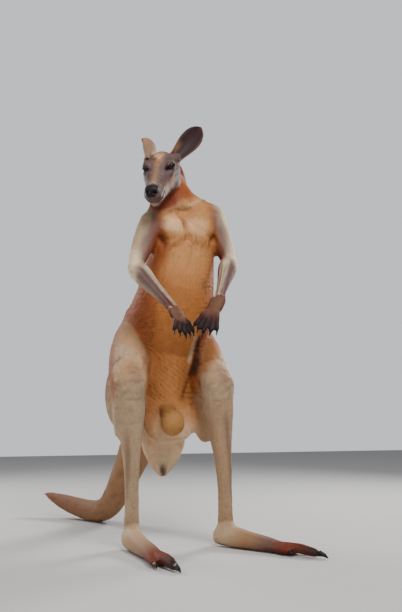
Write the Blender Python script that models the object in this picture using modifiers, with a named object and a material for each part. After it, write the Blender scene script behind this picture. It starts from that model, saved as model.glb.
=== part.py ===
"""A male red kangaroo standing tall on both feet and its tail, as a still, life-size museum model.

The animal faces -Y, with its left side at +X and the floor at Z = 0. Its flesh is modelled whole, as tapering
tubes and muscle bellies along a posed skeleton that a voxel remesh blends into one body. Thin cuts at the
joints then part that body into head, neck, trunk, limbs and tail. Ears, eyes and claws are pieces of their own.
"""

import math

import bmesh
import bpy
from mathutils import Matrix, Vector

# Driving dimensions, in metres.
CUT = 0.0004  # width of the thin cuts between the body's parts
GAP = 0.0003  # clearance where a separate piece meets the flesh
VOXEL = 0.0050  # grain of the blended body
BODY_TRIANGLES = 3850
FOOT_LENGTH = 0.478  # heel to the tip of the long toe's claw
HEAD_LENGTH = 0.287  # back of the skull to the tip of the nose
EAR_LENGTH = 0.176
EAR_WIDTH = 0.082
EYE_RADIUS = 0.0162
FLOOR_CENTRE = Vector((0.0637, 0.2104, 0.0))  # moves the model so that its box stands centred on the origin

# The posed skeleton: where each joint stands. Right is the animal's own right, at -X.
PELVIS = Vector((0.0, 0.0, 0.76))
HIP = {"right": Vector((-0.125, 0.0, 0.765)), "left": Vector((0.140, 0.0, 0.768))}
KNEE = {"right": Vector((-0.180, -0.225, 0.600)), "left": Vector((0.168, -0.225, 0.600))}
ANKLE = {"right": Vector((-0.124, -0.068, 0.078)), "left": Vector((0.236, -0.130, 0.078))}
HEEL = {"right": Vector((-0.140, -0.040, 0.0)), "left": Vector((0.203, -0.098, 0.0))}
FOOT_YAW = {"right": math.radians(9.0), "left": math.radians(36.0)}  # turned towards the animal's left
SHOULDER = {"right": Vector((-0.086, -0.150, 1.275)), "left": Vector((0.168, -0.150, 1.338))}
ELBOW = {"right": Vector((-0.166, -0.195, 1.063)), "left": Vector((0.235, -0.190, 1.122))}
WRIST = {"right": Vector((-0.058, -0.370, 0.868)), "left": Vector((0.126, -0.342, 0.926))}
FINGERTIPS = {"right": Vector((-0.018, -0.432, 0.768)), "left": Vector((0.030, -0.398, 0.780))}
HAND_WIDTH = {"right": 1.45, "left": 1.22}  # how far the fingers are spread
WAIST = Vector((0.030, -0.085, 0.96))
CHEST = Vector((0.052, -0.115, 1.20))
NECK_BASE = Vector((0.030, -0.125, 1.345))
NECK_TOP = Vector((-0.028, -0.148, 1.474))
SKULL_BACK = Vector((-0.0354, -0.163, 1.5444))
HEAD_YAW = math.radians(-34.0)
HEAD_PITCH = math.radians(46.0)
HEAD_ROLL = math.radians(3.0)
EAR_REACH = {"right": Vector((0.17, 0.75, 0.68)), "left": Vector((0.60, -0.09, 0.79))}  # right ear turned back
EAR_HOLLOW = {"right": Vector((-0.42, 0.36, -0.78)), "left": Vector((-0.15, -0.95, 0.0))}
TAIL = [
    Vector((0.0, 0.06, 0.66)),
    Vector((-0.012, 0.20, 0.46)),
    Vector((-0.045, 0.40, 0.235)),
    Vector((-0.085, 0.555, 0.085)),
    Vector((-0.130, 0.660, 0.050)),
    Vector((-0.225, 0.790, 0.066)),
    Vector((-0.345, 0.915, 0.112)),
]
SIDES = {"right": -1.0, "left": 1.0}
FORWARD, UP = Vector((0.0, -1.0, 0.0)), Vector((0.0, 0.0, 1.0))


# ---------------------------------------------------------------- shape helpers


def blend(keys, t):
    """The values of a table of (place, values...) rows at place t, on a smooth curve through its rows."""
    rows = [tuple(row) for row in keys]
    if t <= rows[0][0]:
        return list(rows[0][1:])
    if t >= rows[-1][0]:
        return list(rows[-1][1:])
    i = max(k for k in range(len(rows) - 1) if rows[k][0] <= t)
    before, low, high, after = rows[max(i - 1, 0)], rows[i], rows[i + 1], rows[min(i + 2, len(rows) - 1)]
    span = high[0] - low[0]
    s = (t - low[0]) / span
    found = []
    for k in range(1, len(low)):
        start = (high[k] - before[k]) / (high[0] - before[0]) * span
        end = (after[k] - low[k]) / (after[0] - low[0]) * span
        found.append(
            (2 * s**3 - 3 * s**2 + 1) * low[k]
            + (s**3 - 2 * s**2 + s) * start
            + (3 * s**2 - 2 * s**3) * high[k]
            + (s**3 - s**2) * end
        )
    return found


def along(points, t):
    """The point at share t of the length of a smooth line through the points."""
    lengths = [0.0]
    for a, b in zip(points, points[1:]):
        lengths.append(lengths[-1] + (b - a).length)
    return Vector(blend([(s / lengths[-1], *p) for s, p in zip(lengths, points)], t))


def add_rings(bm, rings):
    """Skins rings of equal length into one closed form, with a fan at each end."""
    rows = [[bm.verts.new(p) for p in ring] for ring in rings]
    count = len(rows[0])
    for low, high in zip(rows, rows[1:]):
        for k in range(count):
            bm.faces.new((low[k], low[(k + 1) % count], high[(k + 1) % count], high[k]))
    for row, turned in ((rows[0], True), (rows[-1], False)):
        tip = bm.verts.new(sum((v.co for v in row), Vector()) / count)
        for k in range(count):
            pair = (row[k], row[(k + 1) % count])
            bm.faces.new((*(reversed(pair) if turned else pair), tip))


def add_tube(bm, points, girth, facing, steps=28, around=24, square=2.2):
    """A tapering tube along the points. Each girth row is (share of length, half width, front, back), and
    front is the reach towards the facing direction."""
    rings = []
    for i in range(steps + 1):
        t = i / steps
        centre = along(points, t)
        tangent = (along(points, min(t + 0.01, 1.0)) - along(points, max(t - 0.01, 0.0))).normalized()
        front = (facing - facing.dot(tangent) * tangent).normalized()
        side = tangent.cross(front)
        width, reach, back = blend(girth, t)
        ring = []
        for k in range(around):
            angle = math.tau * k / around
            c, s = math.cos(angle), math.sin(angle)
            x = math.copysign(abs(s) ** (2 / square), s) * width
            y = math.copysign(abs(c) ** (2 / square), c) * (reach if c > 0 else back)
            ring.append(centre + side * x + front * y)
        rings.append(ring)
    add_rings(bm, rings)


def add_belly(bm, centre, radii, axis=UP, facing=FORWARD):
    """A muscle belly: an ellipsoid whose radii are (half width, towards facing, along axis)."""
    axis = axis.normalized()
    front = (facing - facing.dot(axis) * axis).normalized()
    side = front.cross(axis)
    turn = Matrix((side, front, axis)).transposed().to_4x4()
    size = Matrix.Diagonal((*radii, 1.0))
    bmesh.ops.create_uvsphere(
        bm, u_segments=20, v_segments=12, radius=1.0, matrix=Matrix.Translation(centre) @ turn @ size
    )


def collections():
    """The animal's collection, and one for what only cuts it."""
    found = []
    for name in ("red_kangaroo", "cutters"):
        made = bpy.data.collections.new(name)
        bpy.context.scene.collection.children.link(made)
        found.append(made)
    return found


def new_object(name, bm, collection):
    mesh = bpy.data.meshes.new(name)
    bmesh.ops.recalc_face_normals(bm, faces=bm.faces[:])
    bm.to_mesh(mesh)
    bm.free()
    made = bpy.data.objects.new(name, mesh)
    collection.objects.link(made)
    return made


def modifier(obj, kind, **settings):
    made = obj.modifiers.new(kind.lower(), kind)
    for key, value in settings.items():
        setattr(made, key, value)
    return made


def apply_all(obj):
    """Replaces the object's mesh by the one its modifiers make."""
    bpy.context.view_layer.update()
    graph = bpy.context.evaluated_depsgraph_get()
    mesh = bpy.data.meshes.new_from_object(obj.evaluated_get(graph))
    obj.modifiers.clear()
    old, obj.data = obj.data, mesh
    bpy.data.meshes.remove(old)


def carve(obj, cutter, operation="DIFFERENCE"):
    """Cuts the object by a cutter and keeps the result."""
    modifier(obj, "BOOLEAN", object=cutter, operation=operation, solver="EXACT")
    apply_all(obj)


def helper(obj):
    obj.hide_render = True
    obj.display_type = "WIRE"
    return obj


def swollen(obj, by, cutters):
    """A slightly larger copy of a piece, which cuts its neighbour with a gap."""
    copy = bpy.data.objects.new(obj.name + "_swollen", obj.data.copy())
    cutters.objects.link(copy)
    modifier(copy, "DISPLACE", strength=by, mid_level=0.0)
    apply_all(copy)
    return helper(copy)


# ---------------------------------------------------------------- flesh


def head_frame():
    """The head's own axes as a matrix: X to its left, Y out of the back of the skull, Z up through the crown."""
    turn = Matrix.Rotation(HEAD_YAW, 3, "Z") @ Matrix.Rotation(HEAD_PITCH, 3, "X") @ Matrix.Rotation(HEAD_ROLL, 3, "Y")
    return Matrix.Translation(SKULL_BACK) @ turn.to_4x4()


def in_head(x, along_head, z):
    """A point by its place in the head: left of the middle, forward of the skull's back, above the axis."""
    return head_frame() @ Vector((x, -along_head, z))


def head_direction(x, forward, z):
    return (head_frame().to_3x3() @ Vector((x, -forward, z))).normalized()


def add_trunk(bm):
    spine = [Vector((-0.004, 0.0, 0.42)), PELVIS, WAIST, CHEST, NECK_BASE]
    girth = [
        (0.00, 0.050, 0.050, 0.050),
        (0.10, 0.105, 0.110, 0.110),
        (0.25, 0.150, 0.150, 0.160),
        (0.40, 0.172, 0.168, 0.180),
        (0.52, 0.172, 0.176, 0.168),
        (0.64, 0.156, 0.162, 0.146),
        (0.76, 0.141, 0.134, 0.128),
        (0.87, 0.132, 0.112, 0.112),
        (0.95, 0.098, 0.088, 0.090),
        (1.00, 0.060, 0.060, 0.066),
    ]
    add_tube(bm, spine, girth, FORWARD, steps=40, around=32)
    # The web of skin between the thighs, and the soft cone that hangs from it behind the scrotum.
    web = [Vector((0.0, -0.040, 0.60)), Vector((0.012, -0.085, 0.50)), Vector((0.026, -0.110, 0.400))]
    add_tube(bm, web, [(0.0, 0.120, 0.070, 0.08), (0.5, 0.115, 0.045, 0.06), (0.85, 0.098, 0.028, 0.04),
                       (1.0, 0.060, 0.014, 0.020)], FORWARD, steps=16)
    cone = [Vector((0.0, -0.01, 0.60)), Vector((0.006, -0.03, 0.42)), Vector((-0.006, -0.062, 0.262))]
    add_tube(bm, cone, [(0.0, 0.10, 0.09, 0.10), (0.5, 0.098, 0.075, 0.095), (0.75, 0.076, 0.052, 0.076),
                        (0.93, 0.038, 0.028, 0.038), (1.0, 0.014, 0.012, 0.016)], FORWARD, steps=16)
    for side, sign in SIDES.items():
        lift = 0.5 * (SHOULDER[side].z - 0.5 * (SHOULDER["right"].z + SHOULDER["left"].z))
        breast = CHEST + Vector((sign * 0.058, -0.074, 0.062 + lift))
        add_belly(bm, breast, (0.076, 0.040, 0.080), Vector((sign * 0.45, 0.15, 1.0)))
        collar = CHEST + Vector((sign * 0.070, -0.056, 0.128 + lift))
        add_belly(bm, collar, (0.074, 0.032, 0.028), Vector((0.0, -0.2, 1.0)))
        blade = CHEST + Vector((sign * 0.070, 0.070, 0.030 + lift))
        add_belly(bm, blade, (0.062, 0.036, 0.130), Vector((sign * -0.15, -0.06, 1.0)))
        flank = HIP[side] + Vector((sign * -0.044, -0.020, 0.080))
        add_belly(bm, flank, (0.092, 0.150, 0.135))
        rump = PELVIS + Vector((sign * 0.075, 0.085, -0.05))
        add_belly(bm, rump, (0.095, 0.110, 0.160), Vector((0.0, 0.35, -1.0)))


def add_neck(bm):
    line = [CHEST + Vector((-0.006, 0.0, 0.06)), NECK_BASE, 0.5 * (NECK_BASE + NECK_TOP), NECK_TOP, in_head(0, 0.05, 0)]
    girth = [
        (0.0, 0.085, 0.080, 0.085),
        (0.4, 0.084, 0.078, 0.082),
        (0.65, 0.066, 0.064, 0.068),
        (0.85, 0.056, 0.056, 0.060),
        (1.0, 0.040, 0.040, 0.042),
    ]
    add_tube(bm, line, girth, FORWARD, steps=20)
    # The nape, thick with hair, from the back of the skull to the shoulder blades.
    nape = [in_head(0.006, 0.030, 0.004), NECK_TOP + Vector((0.030, 0.036, 0.030)),
            0.5 * (NECK_BASE + NECK_TOP) + Vector((0.026, 0.046, 0.010)), NECK_BASE + Vector((0.022, 0.050, 0.0)),
            CHEST + Vector((0.0, 0.050, 0.050))]
    add_tube(bm, nape, [(0.0, 0.036, 0.036, 0.036), (0.25, 0.056, 0.058, 0.050), (0.5, 0.066, 0.062, 0.060),
                        (0.8, 0.088, 0.074, 0.080), (1.0, 0.080, 0.066, 0.075)], FORWARD, steps=16, around=20)
    for side, sign in SIDES.items():
        # The sling of muscle from the neck down to the shoulder.
        sling = [NECK_TOP + Vector((sign * 0.012, 0.026, -0.055)), SHOULDER[side] + Vector((sign * -0.020, 0.012, 0.016))]
        add_tube(bm, sling, [(0.0, 0.038, 0.036, 0.036), (0.5, 0.044, 0.040, 0.040), (1.0, 0.040, 0.036, 0.036)],
                 FORWARD, steps=10, around=16)


def add_head(bm):
    """The head as rings across its length, each with its half width, crown, chin and squareness."""
    profile = [
        (0.000, 0.030, 0.012, 0.040),
        (0.022, 0.053, 0.034, 0.064),
        (0.055, 0.071, 0.047, 0.078),
        (0.095, 0.075, 0.047, 0.086),
        (0.130, 0.068, 0.038, 0.092),
        (0.160, 0.058, 0.026, 0.097),
        (0.190, 0.048, 0.015, 0.096),
        (0.220, 0.043, 0.006, 0.094),
        (0.250, 0.039, -0.001, 0.088),
        (0.272, 0.032, -0.005, 0.072),
        (0.287, 0.018, -0.014, 0.046),
    ]
    scale = HEAD_LENGTH / profile[-1][0]
    rings, steps, around = [], 36, 32
    for i in range(steps + 1):
        place = profile[-1][0] * i / steps
        width, crown, chin = blend(profile, place)
        middle, reach = 0.5 * (crown - chin), 0.5 * (crown + chin)
        ring = []
        for k in range(around):
            angle = math.tau * k / around
            c, s = math.cos(angle), math.sin(angle)
            x = math.copysign(abs(s) ** 0.92, s) * width
            x *= 1.0 - 0.06 * max(-c, 0.0)
            ring.append(in_head(x, place * scale, middle + c * reach))
        rings.append(ring)
    add_rings(bm, rings)
    crown = head_direction(0, 0, 1)
    snout = head_direction(0, 1, 0)
    add_belly(bm, in_head(0, 0.080, 0.030), (0.046, 0.056, 0.030), crown, snout)  # forehead
    add_belly(bm, in_head(0, 0.266, -0.020), (0.032, 0.022, 0.021), crown, snout)  # nose pad
    add_belly(bm, in_head(0, 0.236, -0.082), (0.021, 0.034, 0.018), crown, snout)  # chin
    for sign in SIDES.values():
        add_belly(bm, in_head(sign * 0.048, 0.122, 0.033), (0.017, 0.036, 0.010), crown, snout)  # brow
        add_belly(bm, in_head(sign * 0.052, 0.122, -0.002), (0.016, 0.040, 0.013), crown, snout)  # cheekbone
        add_belly(bm, in_head(sign * 0.046, 0.096, -0.052), (0.028, 0.052, 0.042), crown, snout)  # jaw muscle
        add_belly(bm, in_head(sign * 0.023, 0.240, -0.042), (0.018, 0.040, 0.026), crown, snout)  # lip pad
        add_belly(bm, in_head(sign * 0.060, 0.052, 0.024), (0.023, 0.028, 0.027), crown, snout)  # ear's root


def add_arm(bm, side, sign):
    shoulder, elbow, wrist = SHOULDER[side], ELBOW[side], WRIST[side]
    upper = [shoulder + Vector((sign * -0.02, 0.0, 0.03)), shoulder, elbow]
    girth = [(0.0, 0.040, 0.040, 0.045), (0.2, 0.052, 0.052, 0.056), (0.6, 0.045, 0.046, 0.050),
             (0.9, 0.036, 0.038, 0.042), (1.0, 0.030, 0.032, 0.036)]
    add_tube(bm, upper, girth, FORWARD, steps=18)
    add_belly(bm, shoulder + Vector((sign * 0.012, -0.006, -0.012)), (0.046, 0.052, 0.062), elbow - shoulder)
    lower = [elbow + (elbow - wrist) * 0.06, elbow + (wrist - elbow) * 0.5, wrist]
    girth = [(0.0, 0.028, 0.028, 0.028), (0.10, 0.039, 0.037, 0.039), (0.28, 0.041, 0.036, 0.040),
             (0.55, 0.031, 0.027, 0.030), (0.8, 0.024, 0.021, 0.022), (1.0, 0.022, 0.018, 0.019)]
    add_tube(bm, lower, girth, Vector((sign * 0.4, -0.3, 1.0)), steps=18)


def hand_axes(side, sign):
    """(down the hand, across it towards the thumb, out of its back)."""
    reach = (FINGERTIPS[side] - WRIST[side]).normalized()
    inwards = Vector((-sign * 0.55, 0.45, 0.25))
    across = (inwards - inwards.dot(reach) * reach).normalized()
    back = across.cross(reach) * sign
    return reach, across, back


def fingers(side, sign):
    """For each of the five fingers: its root, knuckle, tip and the way its claw points."""
    reach, across, back = hand_axes(side, sign)
    length = (FINGERTIPS[side] - WRIST[side]).length
    found = []
    for k in range(5):
        spread = (k - 2) / 2.0  # from -1 at the little finger to 1 at the thumb
        root = WRIST[side] + reach * length * (0.42 - 0.06 * abs(spread)) + across * 0.023 * spread * HAND_WIDTH[side]
        way = (reach + across * 0.30 * spread * HAND_WIDTH[side] - back * 0.06).normalized()
        bent = (way - across * 0.22 * spread - back * 0.45).normalized()
        knuckle = root + way * length * (0.25 - 0.03 * abs(spread))
        tip = knuckle + bent * length * (0.23 - 0.03 * abs(spread))
        found.append((root, knuckle, tip, bent, back))
    return found


def add_hand(bm, side, sign):
    reach, across, back = hand_axes(side, sign)
    length = (FINGERTIPS[side] - WRIST[side]).length
    palm = [WRIST[side] - reach * 0.010, WRIST[side] + reach * length * 0.45]
    wide = HAND_WIDTH[side]
    add_tube(bm, palm, [(0.0, 0.022, 0.018, 0.019), (0.5, 0.027 * wide, 0.017, 0.019),
                        (0.85, 0.031 * wide, 0.014, 0.017), (1.0, 0.026 * wide, 0.010, 0.012)], back, steps=10, around=20)
    for root, knuckle, tip, _, _ in fingers(side, sign):
        add_tube(bm, [root - (knuckle - root) * 0.5, root, knuckle, tip],
                 [(0.0, 0.0095, 0.009, 0.009), (0.7, 0.0090, 0.009, 0.009), (0.93, 0.0080, 0.0075, 0.008),
                  (1.0, 0.0050, 0.0048, 0.005)], back, steps=12, around=12)


def add_leg(bm, side, sign):
    hip, knee, ankle = HIP[side], KNEE[side], ANKLE[side]
    out = Vector((sign, 0.0, 0.0))
    thigh = [hip + Vector((sign * -0.01, 0.05, 0.10)), hip + Vector((sign * 0.008, -0.02, -0.01)), knee,
             knee + Vector((0.0, -0.012, -0.045))]
    girth = [(0.0, 0.050, 0.080, 0.070), (0.18, 0.078, 0.118, 0.115), (0.42, 0.086, 0.118, 0.150),
             (0.66, 0.076, 0.088, 0.135), (0.86, 0.060, 0.060, 0.100), (1.0, 0.040, 0.038, 0.060)]
    add_tube(bm, thigh, girth, Vector((0.0, -1.0, 0.9)), steps=26)
    # The hamstring's sheet, from the seat bone down the back of the shank.
    sheet = [hip + Vector((sign * -0.004, 0.085, -0.055)), 0.5 * (hip + knee) + Vector((sign * 0.004, 0.060, -0.110)),
             knee + Vector((sign * -0.002, 0.072, -0.125)), knee + (ankle - knee) * 0.42]
    girth = [(0.0, 0.060, 0.060, 0.060), (0.35, 0.062, 0.070, 0.070), (0.7, 0.050, 0.055, 0.058),
             (1.0, 0.030, 0.030, 0.034)]
    add_tube(bm, sheet, girth, Vector((0.0, -1.0, 0.4)), steps=20)
    shank = [knee + Vector((0.0, 0.0, 0.045)), knee + (ankle - knee) * 0.25 + Vector((0.0, -0.004, 0.0)),
             knee + (ankle - knee) * 0.6 + Vector((0.0, -0.006, 0.0)), ankle]
    girth = [(0.0, 0.040, 0.040, 0.050), (0.10, 0.054, 0.052, 0.070), (0.25, 0.053, 0.044, 0.084),
             (0.40, 0.044, 0.038, 0.070), (0.55, 0.034, 0.034, 0.050), (0.75, 0.028, 0.030, 0.040),
             (0.92, 0.030, 0.030, 0.044), (1.0, 0.031, 0.029, 0.046)]
    add_tube(bm, shank, girth, FORWARD, steps=30)
    rear = hip + Vector((sign * 0.008, 0.062, -0.170))
    add_belly(bm, rear, (0.086, 0.085, 0.165), Vector((sign * 0.06, -0.18, -1.0)))  # hamstrings
    add_belly(bm, knee + Vector((sign * -0.012, 0.112, -0.130)), (0.050, 0.060, 0.080))  # back of the knee
    add_belly(bm, knee + Vector((0.0, -0.030, 0.010)), (0.040, 0.034, 0.055))  # kneecap
    add_belly(bm, knee + Vector((0.0, 0.045, -0.085)) + out * 0.004, (0.048, 0.052, 0.115), ankle - knee)  # calf


def foot_axes(side):
    """(from heel to toe, towards the animal's left across the foot)."""
    yaw = FOOT_YAW[side]
    return Vector((math.sin(yaw), -math.cos(yaw), 0.0)), Vector((math.cos(yaw), math.sin(yaw), 0.0))


def on_foot(side, sign, forward, outward, height):
    """A point by its place in the foot: forward of the heel as a share of its length, outward, and up."""
    ahead, left = foot_axes(side)
    return HEEL[side] + ahead * forward * FOOT_LENGTH + left * sign * outward + UP * height


def toes(side, sign):
    """For each toe: its root, its knuckle, its tip and half its thickness. The long fourth toe comes first."""
    places = [
        ((0.56, 0.000, 0.026), (0.76, 0.001, 0.026), (0.905, 0.002, 0.017), 0.0195),
        ((0.52, 0.024, 0.022), (0.66, 0.040, 0.022), (0.755, 0.044, 0.014), 0.0130),
        ((0.52, -0.022, 0.026), (0.64, -0.032, 0.024), (0.700, -0.034, 0.018), 0.0080),
        ((0.52, -0.016, 0.030), (0.65, -0.021, 0.030), (0.715, -0.024, 0.023), 0.0080),
    ]
    return [(*(on_foot(side, sign, *place) for place in toe[:3]), toe[3]) for toe in places]


def add_foot(bm, side, sign):
    ankle = ANKLE[side]
    instep = [on_foot(side, sign, 0.02, 0.0, 0.034), on_foot(side, sign, 0.14, 0.0, 0.044),
              on_foot(side, sign, 0.34, 0.002, 0.036), on_foot(side, sign, 0.60, 0.006, 0.024)]
    girth = [(0.0, 0.022, 0.026, 0.030), (0.12, 0.031, 0.036, 0.040), (0.3, 0.033, 0.036, 0.044),
             (0.55, 0.032, 0.028, 0.036), (0.8, 0.034, 0.024, 0.028), (1.0, 0.030, 0.016, 0.020)]
    add_tube(bm, instep, girth, UP, steps=24)
    add_belly(bm, on_foot(side, sign, 0.045, 0.0, 0.050), (0.026, 0.030, 0.046), ankle - HEEL[side])  # heel bone
    add_belly(bm, ankle + Vector((0.0, -0.010, -0.012)), (0.033, 0.038, 0.040))
    pad = on_foot(side, sign, 0.62, 0.006, 0.010)
    add_belly(bm, pad, (0.030, 0.048, 0.014), UP, foot_axes(side)[0])
    for root, knuckle, tip, half in toes(side, sign):
        add_tube(bm, [root, knuckle, tip],
                 [(0.0, half, half, half), (0.6, half, half, half), (0.9, half * 0.88, half * 0.85, half * 0.9),
                  (1.0, half * 0.5, half * 0.5, half * 0.5)], UP, steps=14, around=14)


def add_tail(bm):
    girth = [
        (0.00, 0.084, 0.105, 0.100),
        (0.15, 0.082, 0.098, 0.094),
        (0.32, 0.074, 0.078, 0.078),
        (0.50, 0.062, 0.063, 0.064),
        (0.66, 0.055, 0.054, 0.057),
        (0.80, 0.048, 0.046, 0.048),
        (0.90, 0.038, 0.037, 0.037),
        (0.97, 0.022, 0.022, 0.021),
        (1.00, 0.009, 0.009, 0.009),
    ]
    add_tube(bm, TAIL, girth, Vector((0.0, -0.4, 1.0)), steps=56)


def flesh(collection):
    """The whole body as one closed, blended and thinned-out surface."""
    bm = bmesh.new()
    add_trunk(bm)
    add_neck(bm)
    add_head(bm)
    add_tail(bm)
    for side, sign in SIDES.items():
        add_arm(bm, side, sign)
        add_hand(bm, side, sign)
        add_leg(bm, side, sign)
        add_foot(bm, side, sign)
    body = new_object("body", bm, collection)
    modifier(body, "REMESH", mode="VOXEL", voxel_size=VOXEL, adaptivity=0.0)
    modifier(body, "SMOOTH", factor=0.5, iterations=5)
    apply_all(body)
    faces = sum(len(p.vertices) - 2 for p in body.data.polygons)
    modifier(body, "DECIMATE", ratio=BODY_TRIANGLES / faces)
    apply_all(body)
    return body


def floor_box(cutters):
    bm = bmesh.new()
    bmesh.ops.create_cube(bm, size=1.0, matrix=Matrix.Translation((0, 0, -0.5)) @ Matrix.Diagonal((4, 4, 1, 1)))
    return helper(new_object("floor_cutter", bm, cutters))


# ---------------------------------------------------------------- parting the body


def add_disc(bm, centre, facing, radius):
    """A thin disc that parts what it passes through."""
    turn = facing.to_track_quat("Z", "Y").to_matrix().to_4x4()
    bmesh.ops.create_cone(
        bm, cap_ends=True, segments=24, radius1=radius, radius2=radius, depth=CUT,
        matrix=Matrix.Translation(centre) @ turn,
    )


def add_strip(bm, line, near, far):
    """A thin sheet that runs along a line of (x, z) places and reaches from near to far along Y."""
    places = [Vector((x, 0.0, z)) for x, z in line]
    rings = []
    for i, place in enumerate(places):
        run = (places[min(i + 1, len(places) - 1)] - places[max(i - 1, 0)]).normalized()
        across = Vector((run.z, 0.0, -run.x)) * CUT / 2
        rings.append([place + across * s + Vector((0.0, y, 0.0)) for s, y in ((1, near), (1, far), (-1, far), (-1, near))])
    rows = [[bm.verts.new(p) for p in ring] for ring in rings]
    for low, high in zip(rows, rows[1:]):
        for k in range(4):
            bm.faces.new((low[k], low[(k + 1) % 4], high[(k + 1) % 4], high[k]))
    bm.faces.new(rows[0])
    bm.faces.new(rows[-1])


def add_plate(bm, centre, slope, width, depth):
    """A thin plate that falls towards the animal's back by the slope."""
    turn = Matrix.Rotation(-slope, 4, "X") @ Matrix.Diagonal((width, depth, CUT, 1.0))
    bmesh.ops.create_cube(bm, size=1.0, matrix=Matrix.Translation(centre) @ turn)


def cut_parts(bm, name):
    """Adds the thin cutter of one joint."""
    side = name.rsplit("_", 1)[-1]
    if name == "neck_base":
        collar = [(-0.190, 0.005), (-0.050, 0.007), (0.020, 0.023), (0.070, 0.065), (0.130, 0.130)]
        add_strip(bm, [(NECK_BASE.x + x, NECK_BASE.z + z) for x, z in collar], NECK_BASE.y - 0.100, NECK_BASE.y + 0.140)
    elif name == "neck_top":
        add_disc(bm, in_head(0, 0.060, -0.048), head_direction(0, 0.39, 0.92), 0.135)
    elif name == "tail_root":
        add_disc(bm, TAIL[0] + Vector((0.0, 0.115, -0.115)), Vector((0.0, 0.72, -0.70)), 0.16)
    elif name == "tail_middle":
        add_disc(bm, along(TAIL, 0.36), along(TAIL, 0.38) - along(TAIL, 0.34), 0.12)
    elif name == "tail_bend":
        add_disc(bm, along(TAIL, 0.64), along(TAIL, 0.66) - along(TAIL, 0.62), 0.11)
    else:
        sign = SIDES[side]
        shoulder, elbow, wrist = SHOULDER[side], ELBOW[side], WRIST[side]
        hip, knee, ankle = HIP[side], KNEE[side], ANKLE[side]
        reach = (wrist - elbow).normalized()
        if name.startswith("shoulder"):
            inner = [(shoulder.x - sign * 0.008, shoulder.z + 0.100), (shoulder.x - sign * 0.004, shoulder.z + 0.030),
                     (0.5 * (shoulder.x + elbow.x) - sign * 0.025, 0.5 * (shoulder.z + elbow.z)),
                     (elbow.x - sign * 0.046, elbow.z - 0.005)]
            add_strip(bm, inner, shoulder.y - 0.110, shoulder.y + 0.085)
        elif name.startswith("elbow"):
            add_disc(bm, elbow + reach * 0.018, reach + (elbow - shoulder).normalized(), 0.085)
        elif name.startswith("wrist"):
            add_disc(bm, wrist, reach, 0.045)
        elif name.startswith("hip"):
            groin = [(hip.x + sign * 0.150, 1.03), (hip.x + sign * 0.045, 0.88), (hip.x - sign * 0.045, 0.68),
                     (hip.x - sign * 0.028, 0.52), (hip.x - sign * 0.020, 0.44), (hip.x - sign * 0.020, 0.20)]
            add_strip(bm, groin, -0.34, 0.30)
        elif name.startswith("knee"):
            add_plate(bm, Vector((hip.x + sign * 0.054, knee.y + 0.110, knee.z - 0.122)), math.radians(28), 0.212, 0.520)
        elif name.startswith("ankle"):
            add_disc(bm, ankle + Vector((0, 0, 0.020)), Vector((0, -0.25, 1.0)), 0.075)


JOINTS = ("neck_base", "neck_top", "tail_root", "tail_middle", "tail_bend") + tuple(
    f"{joint}_{side}" for joint in ("hip", "shoulder", "elbow", "wrist", "knee", "ankle") for side in SIDES
)


def part_body(body, cutters):
    for name in JOINTS:
        bm = bmesh.new()
        cut_parts(bm, name)
        carve(body, helper(new_object("cut_" + name, bm, cutters)))


def loose_groups(body):
    """The numbers of the vertices of each loose piece of a mesh."""
    links = [[] for _ in body.data.vertices]
    for a, b in (edge.vertices for edge in body.data.edges):
        links[a].append(b)
        links[b].append(a)
    unseen, groups = set(range(len(links))), []
    while unseen:
        group = edge = [unseen.pop()]
        while edge:
            edge = [b for a in edge for b in links[a] if b in unseen and not unseen.discard(b)]
            group = group + edge
        groups.append(group)
    return groups


def node_places():
    """Where the middle of each part of the body lies."""
    places = {
        "trunk": 0.5 * (PELVIS + CHEST),
        "neck": 0.5 * (NECK_BASE + NECK_TOP) + Vector((0, 0, 0.01)),
        "head": in_head(0, 0.12, 0),
        "tail_base": along(TAIL, 0.24),
        "tail_middle": along(TAIL, 0.50),
        "tail_tip": along(TAIL, 0.85),
    }
    for side, sign in SIDES.items():
        places["upper_arm_" + side] = 0.55 * SHOULDER[side] + 0.45 * ELBOW[side]
        places["forearm_" + side] = 0.5 * (ELBOW[side] + WRIST[side])
        places["hand_" + side] = 0.45 * WRIST[side] + 0.55 * FINGERTIPS[side]
        places["thigh_" + side] = 0.5 * (HIP[side] + KNEE[side])
        places["shank_" + side] = 0.55 * KNEE[side] + 0.45 * ANKLE[side]
        places["foot_" + side] = on_foot(side, sign, 0.5, 0, 0.03)
    return places


def separate(body, collection):
    """Makes each loose piece of the cut body an object, named for the nearest of the node places."""
    places, named = node_places(), {}
    groups = sorted(loose_groups(body), key=len, reverse=True)
    for group in groups:
        middle = sum((body.data.vertices[i].co for i in group), Vector()) / len(group)
        left = [name for name in places if name not in named]
        if left:
            named[min(left, key=lambda name: (places[name] - middle).length)] = set(group)
    for name, group in named.items():
        piece = bmesh.new()
        copies = {i: piece.verts.new(body.data.vertices[i].co) for i in sorted(group)}
        for face in body.data.polygons:
            if face.vertices[0] in group:
                piece.faces.new([copies[i] for i in face.vertices])
        new_object(name, piece, collection)
    bpy.data.objects.remove(body)


# ---------------------------------------------------------------- pieces of their own


def eye_place(sign):
    return in_head(sign * 0.0500, 0.124, 0.018)


def make_eye(side, sign, collection):
    bm = bmesh.new()
    place = Matrix.Translation(eye_place(sign))
    bmesh.ops.create_uvsphere(bm, u_segments=12, v_segments=8, radius=EYE_RADIUS, matrix=place)
    return new_object("eye_" + side, bm, collection)


def ear_axes(side, sign):
    """(along the ear, across it, out of its hollow), and where it is rooted."""
    reach, hollow = EAR_REACH[side].normalized(), EAR_HOLLOW[side]
    hollow = (hollow - hollow.dot(reach) * reach).normalized()
    return reach, reach.cross(hollow), hollow, in_head(sign * 0.062, 0.052, 0.036)


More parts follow.
